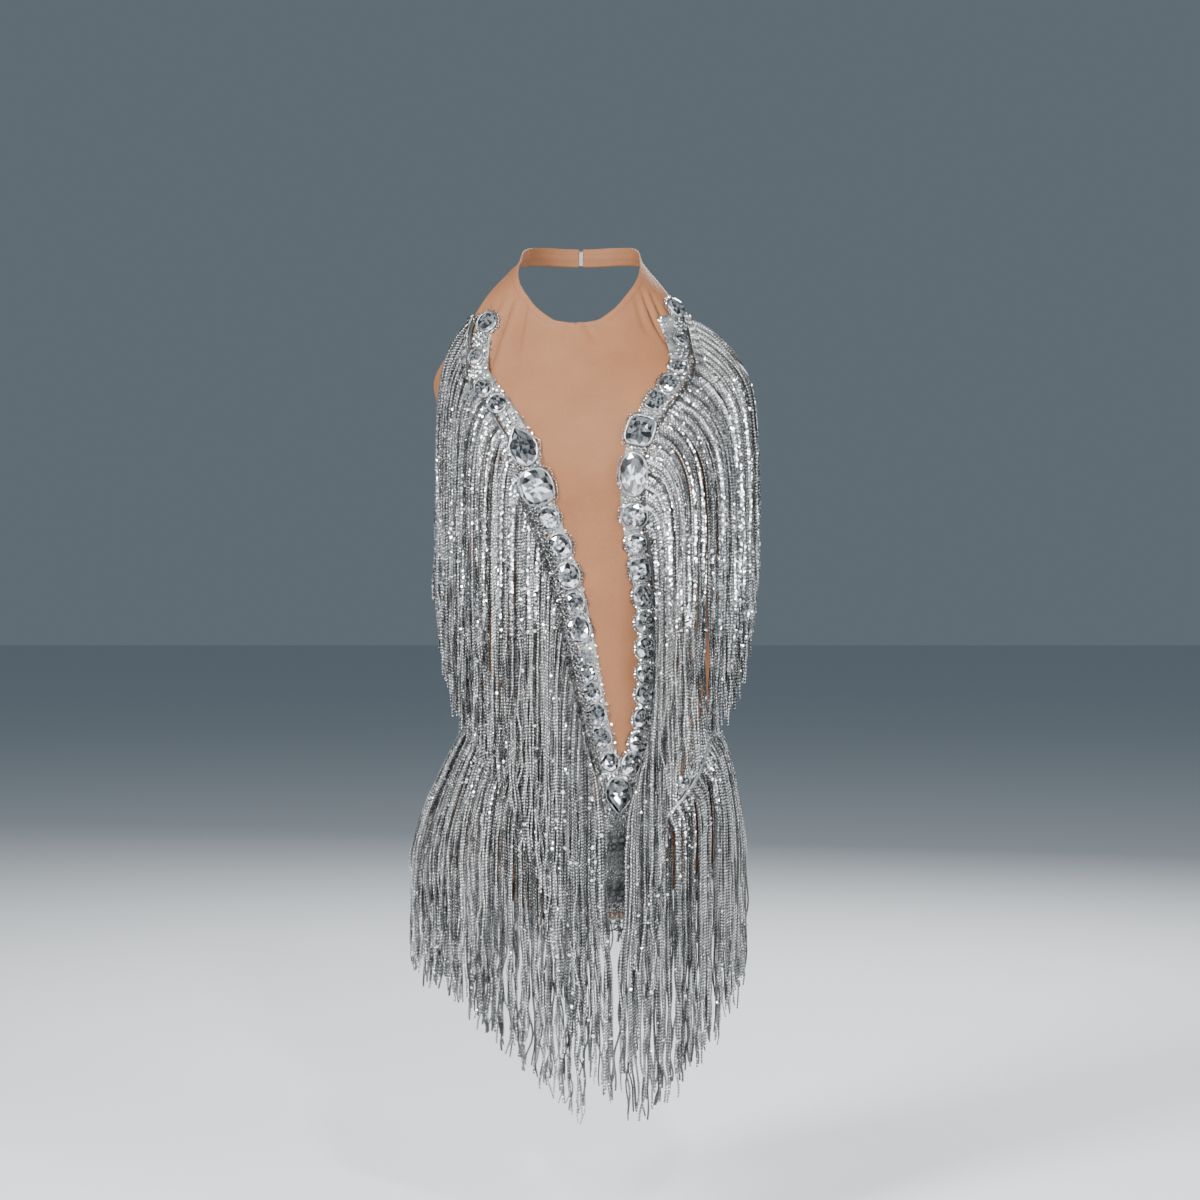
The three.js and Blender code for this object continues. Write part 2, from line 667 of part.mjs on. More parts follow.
// How far out a point is, as a share of its section's half ellipse, and the angle it lies at.
function starOf(point, z) {
  const turn = radians(section.twist(z));
  const dx = point.x - section.centreX(z);
  const dy = point.y - section.centreY(z);
  const across = dx * Math.cos(turn) + dy * Math.sin(turn);
  const forward = dx * Math.sin(turn) - dy * Math.cos(turn);
  const reach = forward > 0 ? section.front(z) : section.back(z);
  const sine = across / section.halfWidth(z);
  const cosine = forward / reach;
  return {
    angle: THREE.MathUtils.radToDeg(Math.atan2(sine, cosine)),
    share: Math.hypot(sine, cosine),
  };
}

function starPoint(angle, share, z) {
  const cosine = Math.cos(radians(angle));
  const reach = cosine > 0 ? section.front(z) : section.back(z);
  const across = share * section.halfWidth(z) * Math.sin(radians(angle));
  return placed(across, share * reach * cosine, z);
}

// A hanging lock's path. It leaves its root square to the tape, as far as the kick, lies on the body
// where the body spreads, and falls straight once the body draws in. aim gives the angle it heads for
// while it swings. The lock rises from its tape to the lift of its own layer.
function hangingPath({ root, kick, aim, swingUntilZ, length, lift }) {
  const stepDrop = 4;
  const rise = 9;
  const kickDrop = 1.5;
  const rootLift = cloth + trimLift(root.angle, root.z) + tapeThickness / 2;
  const points = [
    lifted(root.angle, root.z, rootLift),
    lifted(kick.angle, kick.z - kickDrop, rootLift + 0.3),
  ];
  let travelled = 0;
  while (travelled < length) {
    const last = points[points.length - 1];
    const z = last.z - stepDrop;
    const fallen = root.z - z;
    const now = starOf(last, z);
    const height = lift(z) + (rootLift - lift(z)) * Math.exp(-fallen / rise);
    const angle = z > swingUntilZ ? aim(z, height) : now.angle;
    const lying = starOf(lifted(angle, z, height), z).share;
    const next = starPoint(angle, Math.max(now.share, lying), z);
    travelled += next.distanceTo(last);
    points.push(next);
  }
  return points;
}

// The angle at which a point at a given height over the skin has a given X.
function angleAtX(x, z, height) {
  let low = -88;
  let high = 88;
  for (let i = 0; i < 24; i++) {
    const middle = (low + high) / 2;
    if (lifted(middle, z, height).x < x) low = middle;
    else high = middle;
  }
  return (low + high) / 2;
}

// The fewest of a path's points that keep its course to within a tolerance, its root left out.
function bendPoints(path, tolerance) {
  const keep = (from, to) => {
    const chord = new THREE.Line3(path[from], path[to]);
    const nearest = new THREE.Vector3();
    let worst = 0;
    let at = -1;
    for (let i = from + 1; i < to; i++) {
      const off = chord.closestPointToPoint(path[i], true, nearest).distanceTo(path[i]);
      if (off > worst) {
        worst = off;
        at = i;
      }
    }
    return worst > tolerance ? [...keep(from, at), ...keep(at, to)] : [to];
  };
  return [1, ...keep(1, path.length - 1)];
}

// The four-cornered rings of a lock along its path, broad side to the body, after the root.
function lockRings(side, path) {
  const endTaper = 0.8;
  const tolerance = 1.5;
  return bendPoints(path, tolerance).map((at) => {
    const centre = path[at];
    const isEnd = at === path.length - 1;
    const along = path[isEnd ? at : at + 1].clone().sub(path[at - 1]).normalize();
    const { angle } = starOf(centre, centre.z);
    const out = starPoint(angle, 2, centre.z).sub(starPoint(angle, 1, centre.z)).normalize();
    const across = new THREE.Vector3().crossVectors(along, out).normalize().multiplyScalar(side);
    const facing = new THREE.Vector3().crossVectors(across, along).normalize().multiplyScalar(side);
    const taper = isEnd ? endTaper : 1;
    const corner = (wide, deep) =>
      centre
        .clone()
        .addScaledVector(across, (wide * taper * lockWidth) / 2)
        .addScaledVector(facing, (deep * taper * lockDepth) / 2);
    return [corner(1, -1), corner(-1, -1), corner(-1, 1), corner(1, 1)];
  });
}

function addTube(soup, rings) {
  for (let j = 0; j < rings.length - 1; j++) {
    for (let k = 0; k < 4; k++) {
      const next = (k + 1) % 4;
      soup.quad(rings[j][next], rings[j][k], rings[j + 1][k], rings[j + 1][next]);
    }
  }
}

// A tape with its locks: stations run along the tape, and every second stretch of its far edge is
// drawn out into a lock. Each station holds the tape's four corners, near edge first.
function fringeSolid(side, stations, pathOf) {
  const soup = new Soup();
  const last = stations.length - 1;
  const corners = stations.map(([near, far]) => {
    const at = (place, height) =>
      onCloth(place.angle, place.z, trimLift(place.angle, place.z) + height);
    return [at(near, 0), at(near, tapeThickness), at(far, tapeThickness), at(far, 0)];
  });
  for (let i = 0; i < last; i++) {
    const [a, b] = [corners[i], corners[i + 1]];
    for (const k of [0, 1, 3]) {
      const next = (k + 1) % 4;
      soup.quad(a[k], a[next], b[next], b[k]);
    }
    if (i % 2 === 0) {
      soup.quad(a[2], a[3], b[3], b[2]);
      continue;
    }
    const rings = [[b[3], a[3], a[2], b[2]], ...lockRings(side, pathOf((i - 1) / 2))];
    addTube(soup, rings);
    soup.quad(...rings[rings.length - 1].toReversed());
  }
  soup.quad(corners[0][3], corners[0][2], corners[0][1], corners[0][0]);
  soup.quad(...corners[last]);
  return soup.solid();
}

// Where the stations of a tape stand: stretches of tape and lock roots by turns.
function stationSteps(count, rootShare) {
  const pitch = 1 / count;
  const list = [0];
  for (let k = 0; k < count; k++) {
    const middle = (k + 0.5) * pitch;
    list.push(middle - (rootShare * pitch) / 2, middle + (rootShare * pitch) / 2);
  }
  return [...list, 1];
}

// How far each fringe stands off the body. Locks lie by turns in layers. The bust fringe is close
// over the bust, and clear of the hip fringe lower down.
const kickReach = 4;
const layerStep = 3.8;
const bustLayers = 3;
const hipLayers = 2;
const bustLift = (z) => 6.4 + 10.6 * (1 - THREE.MathUtils.smoothstep(z, -440, -370));
const hipLift = 6;

// Cut lengths differ a little from lock to lock.
const uneven = (k) => lengthSpread * Math.sin(2.4 * k + 0.6);

// One side's bust fringe: a tape along the V band's outer edge, with its locks.
function bustFringe(side) {
  const firstRow = 0.1;
  const lastRow = vBandEnd - 0.05;
  const hangX = side > 0 ? vBand.hangLeft : vBand.hangRight;
  const edge = (row) => vBand.width(row) / 2 + trimSpacing;
  const crowding = side > 0 ? 1.2 : 1;
  const rowAt = (t) => lerp(firstRow, lastRow, t ** crowding);
  const stations = stationSteps(bustLocksPerSide, 0.42).map((t) => {
    const row = rowAt(t);
    return [vBandPlace(side, row, edge(row)), vBandPlace(side, row, edge(row) + tapeWidth)];
  });
  const pathOf = (k) => {
    const row = rowAt((k + 0.5) / bustLocksPerSide);
    const root = vBandPlace(side, row, edge(row) + tapeWidth);
    const kick = vBandPlace(side, row, edge(row) + tapeWidth + kickReach);
    const rootX = skin(kick.angle, kick.z).x;
    const swing = lerp(26, 12, Math.min(1, row / 6));
    const xAt = (z) => hangX(row) + (rootX - hangX(row)) * Math.exp((z - root.z) / swing);
    return hangingPath({
      root,
      kick,
      aim: (z, height) => angleAtX(xAt(z), z, height),
      swingUntilZ: Math.min(root.z - 3 * swing, bustCup.z),
      length: bustFringeLength + uneven(k),
      lift: (z) => bustLift(z) + (k % bustLayers) * layerStep,
    });
  };
  return fringeSolid(side, stations, pathOf);
}

// A stretch of hip fringe, from the greater angle to the smaller: a tape under the band, with locks.
function hipFringe(side, fromAngle, toAngle, count) {
  const near = hipBandWidth / 2 + trimSpacing;
  const stations = stationSteps(count, 0.6).map((t) => {
    const angle = side * lerp(fromAngle, toAngle, t);
    return [hipBandPlace(angle, near), hipBandPlace(angle, near + tapeWidth)];
  });
  const pathOf = (k) => {
    const angle = side * lerp(fromAngle, toAngle, (k + 0.5) / count);
    const root = hipBandPlace(angle, near + tapeWidth);
    const kick = hipBandPlace(angle, near + tapeWidth + kickReach);
    return hangingPath({
      root,
      kick,
      aim: () => kick.angle,
      swingUntilZ: root.z - 30,
      length: hipFringeLength + uneven(k),
      lift: () => hipLift + (k % hipLayers) * layerStep,
    });
  };
  return fringeSolid(side, stations, pathOf);
}

// The nape clasp: a plate over both strap ends, lying flat against their outer face.
function napeClaspPlate() {
  const half = napeClasp.width / 2;
  const middleZ = (halterRows[strapEndRow].neckZ + halterRows[strapEndRow].armZ) / 2;
  const outerY = skin(180, middleZ).y + cloth + seamGap;
  const plate = new THREE.BoxGeometry(napeClasp.width, napeClasp.thickness, napeClasp.height);
  const lift = (half * half) / (2 * section.back(middleZ));
  plate.translate(0, outerY + lift * 0.5 + napeClasp.thickness / 2, middleZ);
  const flat = plate.toNonIndexed().getAttribute("position");
  const soup = new Soup();
  for (let i = 0; i < flat.count; i++) soup.corners.push(new THREE.Vector3().fromBufferAttribute(flat, i));
  return soup.solid();
}

const nudeKnit = new THREE.MeshStandardMaterial({ color: 0xba9a82, roughness: 0.62, metalness: 0 });
const silverCord = new THREE.MeshStandardMaterial({ color: 0xb8bab8, roughness: 0.35, metalness: 0.7 });
const silverCloth = new THREE.MeshStandardMaterial({ color: 0x8c8f8c, roughness: 0.45, metalness: 0.5 });
const crystal = new THREE.MeshStandardMaterial({ color: 0xc9ced2, roughness: 0.08, metalness: 0.6 });
const claspMetal = new THREE.MeshStandardMaterial({ color: 0xc0c0c0, roughness: 0.3, metalness: 1 });

const bodysuit = new THREE.Group();

function addPiece(name, solid, material) {
  const made = solid.getMesh();
  const points = new Float32Array(made.numVert * 3);
  for (let i = 0; i < made.numVert; i++) {
    points.set(made.vertProperties.subarray(i * made.numProp, i * made.numProp + 3), i * 3);
  }
  const geometry = new THREE.BufferGeometry();
  geometry.setAttribute("position", new THREE.BufferAttribute(points, 3));
  geometry.setIndex(new THREE.BufferAttribute(made.triVerts, 1));
  geometry.computeVertexNormals();
  const mesh = new THREE.Mesh(geometry, material);
  mesh.name = name;
  bodysuit.add(mesh);
}

addPiece("front_panel", frontPanel(), nudeKnit);
addPiece("back_panel", backPanel(), nudeKnit);
addPiece("crotch_gusset", crotchGusset(), nudeKnit);
addPiece("silver_front_panel", silverFrontPanel(), silverCloth);
addPiece("nape_clasp", napeClaspPlate(), claspMetal);
addPiece("v_drop_stone", vDropStone(), crystal);
for (const [name, side] of [["left", 1], ["right", -1]]) {
  addPiece(`halter_strap_${name}`, halterStrap(side), nudeKnit);
  addPiece(`v_stone_band_${name}`, vStoneBand(side), crystal);
  addPiece(`bust_fringe_${name}`, bustFringe(side), silverCord);
  const start = side > 0 ? hipBandStart.left : hipBandStart.right;
  addPiece(`hip_stone_band_${name}`, hipStoneBand(side * start, side * 89.6, hipStones), crystal);
  addPiece(`hip_stone_band_back_${name}`, hipStoneBand(side * 90.4, side * 179.6, []), crystal);
  addPiece(`hip_fringe_${name}`, hipFringe(side, 89.6, start, hipLocksPerFront), silverCord);
  addPiece(`hip_fringe_back_${name}`, hipFringe(side, 179, 90.6, hipLocksPerBack), silverCord);
}

export default bodysuit;
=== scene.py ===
import bpy
import numpy as np
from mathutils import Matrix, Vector


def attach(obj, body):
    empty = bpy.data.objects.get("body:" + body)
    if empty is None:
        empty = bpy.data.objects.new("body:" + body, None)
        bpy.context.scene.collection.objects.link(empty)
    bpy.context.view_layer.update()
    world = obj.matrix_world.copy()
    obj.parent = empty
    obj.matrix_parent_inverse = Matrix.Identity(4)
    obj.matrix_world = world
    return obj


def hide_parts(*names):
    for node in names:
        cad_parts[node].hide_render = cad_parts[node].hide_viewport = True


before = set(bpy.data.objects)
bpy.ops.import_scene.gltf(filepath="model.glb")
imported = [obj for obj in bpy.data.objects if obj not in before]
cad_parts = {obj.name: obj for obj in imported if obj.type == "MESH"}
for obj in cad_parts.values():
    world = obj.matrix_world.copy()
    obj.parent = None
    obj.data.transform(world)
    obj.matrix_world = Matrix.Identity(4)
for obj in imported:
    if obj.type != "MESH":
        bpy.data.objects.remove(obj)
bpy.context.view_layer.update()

# Front. One piece of nude stretch knit, cut from the leg line to the neckline with both halter straps on it.
# It is a two-way stretch satin-face knit, turned under and twin-stitched at its open edges.
# Its worn shape is a table of level sections, each of them two half ellipses, in millimetres.
MM = 0.001
CLOTH = 1.5         # from the suit's inner face to its outer one
KNIT_WALL = 1.15    # thickness of the drawn knit, inwards from its outer face
WORN_COLUMNS = ("z", "centre_x", "centre_y", "half_width", "front", "back", "twist")
WORN_SECTIONS = np.array([
    (20, 0, -54, 53, 50, 54, 0),
    (0, 0, -54, 55, 51, 54, 0),
    (-10, 0, -55, 58, 51, 56, -1),
    (-20, -1, -56, 66, 49, 62, -1),
    (-45, -2, -60, 89, 47, 70, -2),
    (-75, -1, -60, 111, 51, 76, -3),
    (-100, 3, -58, 133, 61, 82, -5),
    (-130, 10, -56, 152, 73, 86, -8),
    (-165, 15, -56, 150, 81, 88, -9),
    (-205, 18, -56, 147, 85, 87, -9),
    (-250, 18, -56, 137, 84, 84, -6),
    (-300, 18, -56, 123, 82, 80, 2),
    (-350, 17, -56, 113, 81, 77, 10),
    (-400, 16, -56, 110, 81, 76, 15),
    (-450, 12, -56, 117, 86, 82, 18),
    (-500, 7, -56, 136, 92, 94, 19),
    (-550, 2, -56, 152, 96, 108, 19),
    (-580, 0, -56, 157, 94, 110, 19),
    (-605, 0, -56, 158, 84, 100, 19),
    (-625, -1, -56, 158, 70, 84, 19),
    (-660, -2, -56, 156, 48, 55, 18),
], float)
BUST_CUP = {"angle": 33, "z": -205, "swell": 32, "spread": 19, "rise_above": 54, "rise_below": 40}

# Cut of the front below the neckline: row, height at the centre, angle and height at the side.
FRONT_CUT = np.array([
    (0, -622, 14, -622), (1, -607, 36, -593), (2, -588, 62, -567), (3, -564, 82, -541),
    (4, -534, 90, -512), (5, -495, 90, -476), (6, -443, 90, -430), (7, -388, 90, -382),
    (8, -334, 90, -332), (9, -286, 90, -285), (10, -246, 90, -244), (11, -210, 90, -204),
    (12, -174, 90, -162), (13, -140, 86, -140), (14, -106, 78.5, -114), (15, -75, 73.5, -88),
], float)

# Cut of the halter: row, angle and height on the neckline, angle and height on the armhole.
HALTER_CUT = np.array([
    (0, 0, -75, 73.5, -88), (1, 9, -73, 73, -77), (2, 19, -63, 73.5, -64), (3, 32, -46, 75, -47),
    (4, 47, -31, 79, -32), (5, 61, -19.5, 86, -22), (6, 78, -8, 97, -15), (7, 100, 3, 113, -11),
    (8, 125, 9, 133, -8), (9, 152, 11, 155, -7), (10, 178, 11, 178, -7),
], float)
NECK_SEAM_ROW = 6

# Creases, each a soft trough (or a ridge, where the depth is negative) along a line: angle and height
# of its top and foot, half its width and its depth. Positive angles are on the wearer's left.
FRONT_CREASES = np.array([
    (52, -40, 34, -140, 7, 1.8), (-52, -40, -34, -140, 7, 1.8),
    (62, -45, 50, -118, 6, 1.5), (-62, -45, -50, -118, 6, 1.5),
    (45, -38, 40, -108, 3.6, 4.4), (52, -42, 46, -96, 3.0, 3.4), (48.5, -40, 43, -102, 3.0, -2.2),
    (38, -44, 33, -92, 4.5, 2.2), (-41, -46, -34, -156, 4.0, 5.0), (-35, -46, -29, -150, 4.6, -2.6),
    (-31, -44, -23, -120, 3.6, 2.8), (-47, -48, -42, -140, 3.4, -2.2),
    (70, -44, 62, -84, 3.0, 1.4), (-70, -40, -61, -98, 3.0, 1.5),
    (4, -70, 8, -96, 2.6, 1.5), (-2, -71, -6, -90, 2.4, 1.3), (1, -70, 1, -86, 2.0, -1.2),
    (-12, -300, 12, -322, 9, 0.5), (14, -372, -10, -392, 8, 0.5), (-9, -430, 10, -446, 7, 0.45),
    (88, -330, 56, -352, 8, 1.2), (88, -372, 50, -384, 7, 1.3), (86, -404, 58, -398, 6, 1.0),
    (-88, -322, -58, -346, 8, 1.2), (-88, -364, -52, -380, 7, 1.3), (-86, -398, -60, -394, 6, 1.0),
    (84, -150, 60, -182, 6, 0.9), (-84, -150, -60, -180, 6, 0.9),
    (76, -540, 40, -520, 7, 0.9), (-76, -540, -40, -520, 7, 0.9),
], float)


def smooth_curve(at, value):
    """Cubic pieces through the points; each slope is the harmonic mean of the rises beside it."""
    order = np.argsort(at)
    at, value = at[order], value[order]
    span = np.diff(at)
    rise = np.diff(value) / span
    product, total = rise[:-1] * rise[1:], rise[:-1] + rise[1:]
    inner = np.where(product > 0, 2 * product / np.where(total == 0, 1, total), 0)
    slope = np.concatenate([rise[:1], inner, rise[-1:]])

    def curve(where):
        """The cubic with the given values and slopes at the two points beside the place."""
        place = np.clip(where, at[0], at[-1])
        i = np.clip(np.searchsorted(at, place, side="right") - 1, 0, len(span) - 1)
        t = (place - at[i]) / span[i]
        s = 1 - t
        return (value[i] * (1 + 2 * t) * s * s + span[i] * slope[i] * t * s * s
                + value[i + 1] * t * t * (3 - 2 * t) - span[i] * slope[i + 1] * t * t * s)

    return curve


WORN_CURVE = {name: smooth_curve(WORN_SECTIONS[:, 0], WORN_SECTIONS[:, i])
              for i, name in enumerate(WORN_COLUMNS)}


def smoothstep(value, low, high):
    """Rises from 0 at low to 1 at high, as 3t2 - 2t3."""
    t = np.clip((value - low) / (high - low), 0, 1)
    return t * t * (3 - 2 * t)


BASE_CREASES = FRONT_CREASES[:4]
FLAT_CREASE = {"under": 45, "over": 15}    # a crease of less height and more angle than this lies level


def crease_depth(angle, z, creases):
    """Sum over the creases of depth times a sine along the line times a bell across it."""
    depth = np.zeros(np.broadcast(angle, z).shape)
    for top_angle, top_z, foot_angle, foot_z, width, deep in creases:
        t = (top_z - z) / (top_z - foot_z)
        if abs(top_z - foot_z) < FLAT_CREASE["under"] and abs(top_angle - foot_angle) > FLAT_CREASE["over"]:
            t = (angle - top_angle) / (foot_angle - top_angle)
            off = (z - (top_z + (foot_z - top_z) * t)) / width
        else:
            middle = top_angle + (foot_angle - top_angle) * t
            turn = np.radians((angle - middle + 180) % 360 - 180)
            off = turn * WORN_CURVE["half_width"](z) / width
        depth += deep * np.sin(np.pi * np.clip(t, 0, 1)) * np.exp(-off * off)
    return depth


def inner_face(angle, z, creases=BASE_CREASES):
    """Point of the suit's inner face at an angle round it and a height: on the section's ellipse, moved in
    by the creases and forward by the two rounded bust cups, then turned by the section's twist."""
    angle, z = np.broadcast_arrays(np.asarray(angle, float), np.asarray(z, float))
    section = {name: curve(z) for name, curve in WORN_CURVE.items()}
    sine, cosine = np.sin(np.radians(angle)), np.cos(np.radians(angle))
    across = section["half_width"] * sine
    forward = np.where(cosine > 0, section["front"], section["back"]) * cosine
    inward = 1 - crease_depth(angle, z, creases) / np.hypot(across, forward)
    rise = np.where(z > BUST_CUP["z"], BUST_CUP["rise_above"], BUST_CUP["rise_below"])
    height = np.exp(-(((z - BUST_CUP["z"]) / rise) ** 2) / 2)
    bump = sum(np.exp(-(((angle - s * BUST_CUP["angle"]) / BUST_CUP["spread"]) ** 2) / 2) for s in (1, -1))
    across = across * inward
    forward = forward * inward + np.where(cosine > 0, BUST_CUP["swell"] * height * bump, 0)
    turn = np.radians(section["twist"])
    x = section["centre_x"] + across * np.cos(turn) + forward * np.sin(turn)
    y = section["centre_y"] + across * np.sin(turn) - forward * np.cos(turn)
    return np.stack([x, y, z], -1)


def unit(vectors):
    """Each vector divided by its length."""
    return vectors / np.maximum(np.linalg.norm(vectors, axis=-1, keepdims=True), 1e-9)


def outward(angle, z, creases=BASE_CREASES):
    """Direction square to the inner face: the cross product of its slopes round and up."""
    step = 0.5
    around = inner_face(angle + step, z, creases) - inner_face(angle - step, z, creases)
    up = inner_face(angle, z + step, creases) - inner_face(angle, z - step, creases)
    return unit(np.cross(around, up))


def lifted(angle, z, lift, creases=BASE_CREASES):
    """Point a given distance outside the inner face: that face's point plus the distance outwards."""
    lift = np.asarray(lift, float)[..., None]
    return inner_face(angle, z, creases) + outward(angle, z, creases) * lift


def grid_faces(rows, columns, first=0):
    """Corner numbers of the quads between neighbouring rows and columns of points."""
    at = first + np.arange(rows * columns).reshape(rows, columns)
    return np.stack([at[:-1, :-1], at[:-1, 1:], at[1:, 1:], at[1:, :-1]], -1).reshape(-1, 4)


def weld(points, faces):
    """Points that fall on each other made one: the numbers of the points kept, and the faces' new corners."""
    _, kept, became = np.unique(np.round(points, 3), axis=0, return_index=True, return_inverse=True)
    return kept, became.reshape(-1)[faces]


def add_piece(name, points, faces, finish, slot, stands_for=(), maps=None, tones=None, smooth=True):
    """A mesh from points in millimetres and rows of corner numbers, put in whole. maps holds UV maps by
    name, per point or per corner of a face, and tones holds numbers by name, per point or per face."""
    mesh = bpy.data.meshes.new(name)
    mesh.vertices.add(len(points))
    mesh.vertices.foreach_set("co", (points * MM).astype(np.float32).ravel())
    mesh.loops.add(faces.size)
    mesh.loops.foreach_set("vertex_index", faces.astype(np.int32).ravel())
    mesh.polygons.add(len(faces))
    mesh.polygons.foreach_set("loop_start", (np.arange(len(faces)) * faces.shape[1]).astype(np.int32))
    mesh.update(calc_edges=True)
    mesh.polygons.foreach_set("use_smooth", np.full(len(faces), smooth))
    for map_name, places in (maps or {}).items():
        layer = mesh.uv_layers.new(name=map_name)
        corner_places = places if places.ndim == 3 else places[faces]
        layer.uv.foreach_set("vector", corner_places.astype(np.float32).ravel())
    for tone_name, values in (tones or {}).items():
        domain = "FACE" if len(values) == len(faces) and len(values) != len(points) else "POINT"
        mesh.attributes.new(tone_name, "FLOAT", domain).data.foreach_set("value", values.astype(np.float32))
    made = bpy.data.objects.new(name, mesh)
    bpy.context.scene.collection.objects.link(made)
    mesh.materials.append(finish)
    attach(made, "root")
    if stands_for:
        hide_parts(*stands_for)
    return made


def give_thickness(made, thickness):
    """Solidify turns the single surface into a closed wall, inwards from its outer face."""
    wall = made.modifiers.new("cloth thickness", "SOLIDIFY")
    wall.thickness, wall.offset = thickness * MM, -1
    return made


class Wire:
    """A socket of a finish that takes part in sums: each operator adds its Math node."""

    def __init__(self, finish, socket):
        self.finish, self.socket = finish, socket

    def maths(self, operation, *values):
        """A Math node with the operation, fed with the values or wires in order."""
        return self.finish.node("ShaderNodeMath", {"operation": operation}, dict(enumerate(values)))

    def __add__(self, other):
        return self.maths("ADD", self, other)

    def __radd__(self, other):
        return self.maths("ADD", other, self)

    def __sub__(self, other):
        return self.maths("SUBTRACT", self, other)

    def __rsub__(self, other):
        return self.maths("SUBTRACT", other, self)

    def __mul__(self, other):
        return self.maths("MULTIPLY", self, other)

    def __rmul__(self, other):
        return self.maths("MULTIPLY", other, self)

    def sine(self):
        return self.maths("SINE", self)

    def size(self):
        return self.maths("ABSOLUTE", self)

    def whole(self):
        return self.maths("FLOOR", self)

    def step_between(self, low, high):
        """0 below low and 1 above high, with a smooth rise between."""
        ends = {"Value": self, "From Min": low, "From Max": high}
        return self.finish.node("ShaderNodeMapRange", {"interpolation_type": "SMOOTHSTEP"}, ends)


class Finish:
    """A material in the making: its surface shader, and one way to add any node to its tree."""

    def __init__(self, name, **constants):
        self.material = bpy.data.materials.new(name)
        self.material.use_nodes = True
        self.tree = self.material.node_tree
        self.surface = self.tree.nodes["Principled BSDF"]
        for socket, value in constants.items():
            self.surface.inputs[socket.replace("_", " ")].default_value = value

    def node(self, kind, settings=None, sockets=None, result=0):
        """Any node: its settings first, then a value or a link for each socket named."""
        made = self.tree.nodes.new(kind)
        for setting, value in (settings or {}).items():
            setattr(made, setting, value)
        for socket, value in (sockets or {}).items():
            if isinstance(value, Wire):
                self.tree.links.new(value.socket, made.inputs[socket])
            else:
                made.inputs[socket].default_value = value
        return Wire(self, made.outputs[result])

    def parts(self, wire):
        """The three numbers of a vector, as wires."""
        return [self.node("ShaderNodeSeparateXYZ", None, {0: wire}, result) for result in range(3)]

    def grain(self, where, scale, detail=2.0, roughness=0.5):
        """Smooth noise from 0 to 1, with so many grains to the metre or to the unit."""
        sockets = {"Vector": where, "Scale": scale, "Detail": detail, "Roughness": roughness}
        return self.node("ShaderNodeTexNoise", None, sockets, "Fac")

    def blend(self, share, low, high):
        """Colour from low to high by a share."""
        sockets = {0: share, 6: low, 7: high}
        return self.node("ShaderNodeMix", {"data_type": "RGBA"}, sockets, 2)

    def feed(self, socket, wire):
        """Links a wire to a socket of the surface shader."""
        self.tree.links.new(wire.socket, self.surface.inputs[socket])

    def waves(self, wire, length):
        """A sine that repeats once in each length along the wire's number."""
        return (wire * (2 * np.pi / length)).sine()

    def relief(self, height, depth, strength=1.0):
        """A Bump node on the surface's normal, with its depth in metres."""
        sockets = {"Height": height, "Distance": depth, "Strength": strength}
        self.feed("Normal", self.node("ShaderNodeBump", None, sockets))


# The knit's wales, and its turned hem: length of a stitch, distance of the stitch row and of the fold's
# edge from the open edge, and how far the turned cloth stands up.
WALE = {"across": 0.8, "along": 0.7}
HEM = {"stitch": 2.6, "row": 5.2, "edge": 6.3, "raised": 0.35, "flat_from": 5.6, "flat_to": 7.0, "sunk": 0.2}


def nude_knit_finish():
    """Peach-beige knit: fine wales, a speckled matte satin face, stitches beside its turned edges, and
    painted shade in the groove at each fold's edge.
    """
    finish = Finish("nude stretch knit", Roughness=0.6, Sheen_Weight=0.03, Sheen_Roughness=0.45)
    finish.surface.inputs["Sheen Tint"].default_value = (1.0, 0.86, 0.74, 1)
    finish.surface.inputs["Specular IOR Level"].default_value = 0.2
    place = finish.node("ShaderNodeTexCoord", None, None, "Object")
    cloth = finish.parts(finish.node("ShaderNodeUVMap", {"uv_map": "cloth"}))
    hem = finish.parts(finish.node("ShaderNodeUVMap", {"uv_map": "hem"}))
    speckle = finish.grain(place, 620, 3.0, 0.65)
    patches = finish.grain(place, 26, 2.0)
    wales = finish.waves(cloth[0], WALE["across"]) * finish.waves(cloth[1], WALE["along"])
    stitch = finish.waves(hem[0], HEM["stitch"]).step_between(-0.5, 0.3)
    row = 1 - (hem[1] - HEM["row"]).size().step_between(0.25, 0.6)
    # The fold's edge is sunk in the bump and also darkened in colour: painted shade in its groove.
    groove = 1 - (hem[1] - HEM["edge"]).size().step_between(0.2, 1.0)
    tone = speckle * 0.55 + patches * 0.45
    colour = finish.blend(tone.step_between(0.3, 0.7), (0.190, 0.079, 0.0345, 1), (0.236, 0.102, 0.0455, 1))
    # Darker nude on the stitch dashes, marks of the thread, and in the fold's groove, where it is painted
    # shade.
    colour = finish.blend((row * stitch) * 0.12 + groove * 0.10, colour, (0.145, 0.06, 0.0275, 1))
    finish.feed("Base Color", colour)
    finish.feed("Roughness", 0.50 + speckle * 0.16)
    finish.relief(wales * 0.25 + speckle * 0.55 + (row * stitch) * 0.5 - groove * 0.5, 0.0003, 0.55)
    return finish.material


NUDE_KNIT = nude_knit_finish()


def nearest_edge(points, edges):
    """For each point, the length along the nearest edge line and the distance to it, as one array: each
    line's pieces are tried by dropping a perpendicular, and the nearest one is kept."""
    best = np.full(len(points), 1e9)
    along = np.zeros(len(points))
    for edge in edges:
        run = np.concatenate([[0], np.cumsum(np.linalg.norm(np.diff(edge, axis=0), axis=1))])
        start, way = edge[:-1], np.diff(edge, axis=0)
        length = np.maximum((way * way).sum(1), 1e-9)
        t = np.clip(((points[:, None] - start) * way).sum(2) / length, 0, 1)
        gap = np.linalg.norm(points[:, None] - (start + way * t[..., None]), axis=2)
        near = gap.argmin(1)
        pick = np.arange(len(points)), near
        closer = gap[pick] < best
        best = np.where(closer, gap[pick], best)
        along = np.where(closer, run[near] + t[pick] * np.sqrt(length[near]), along)
    return np.stack([along, best], 1)


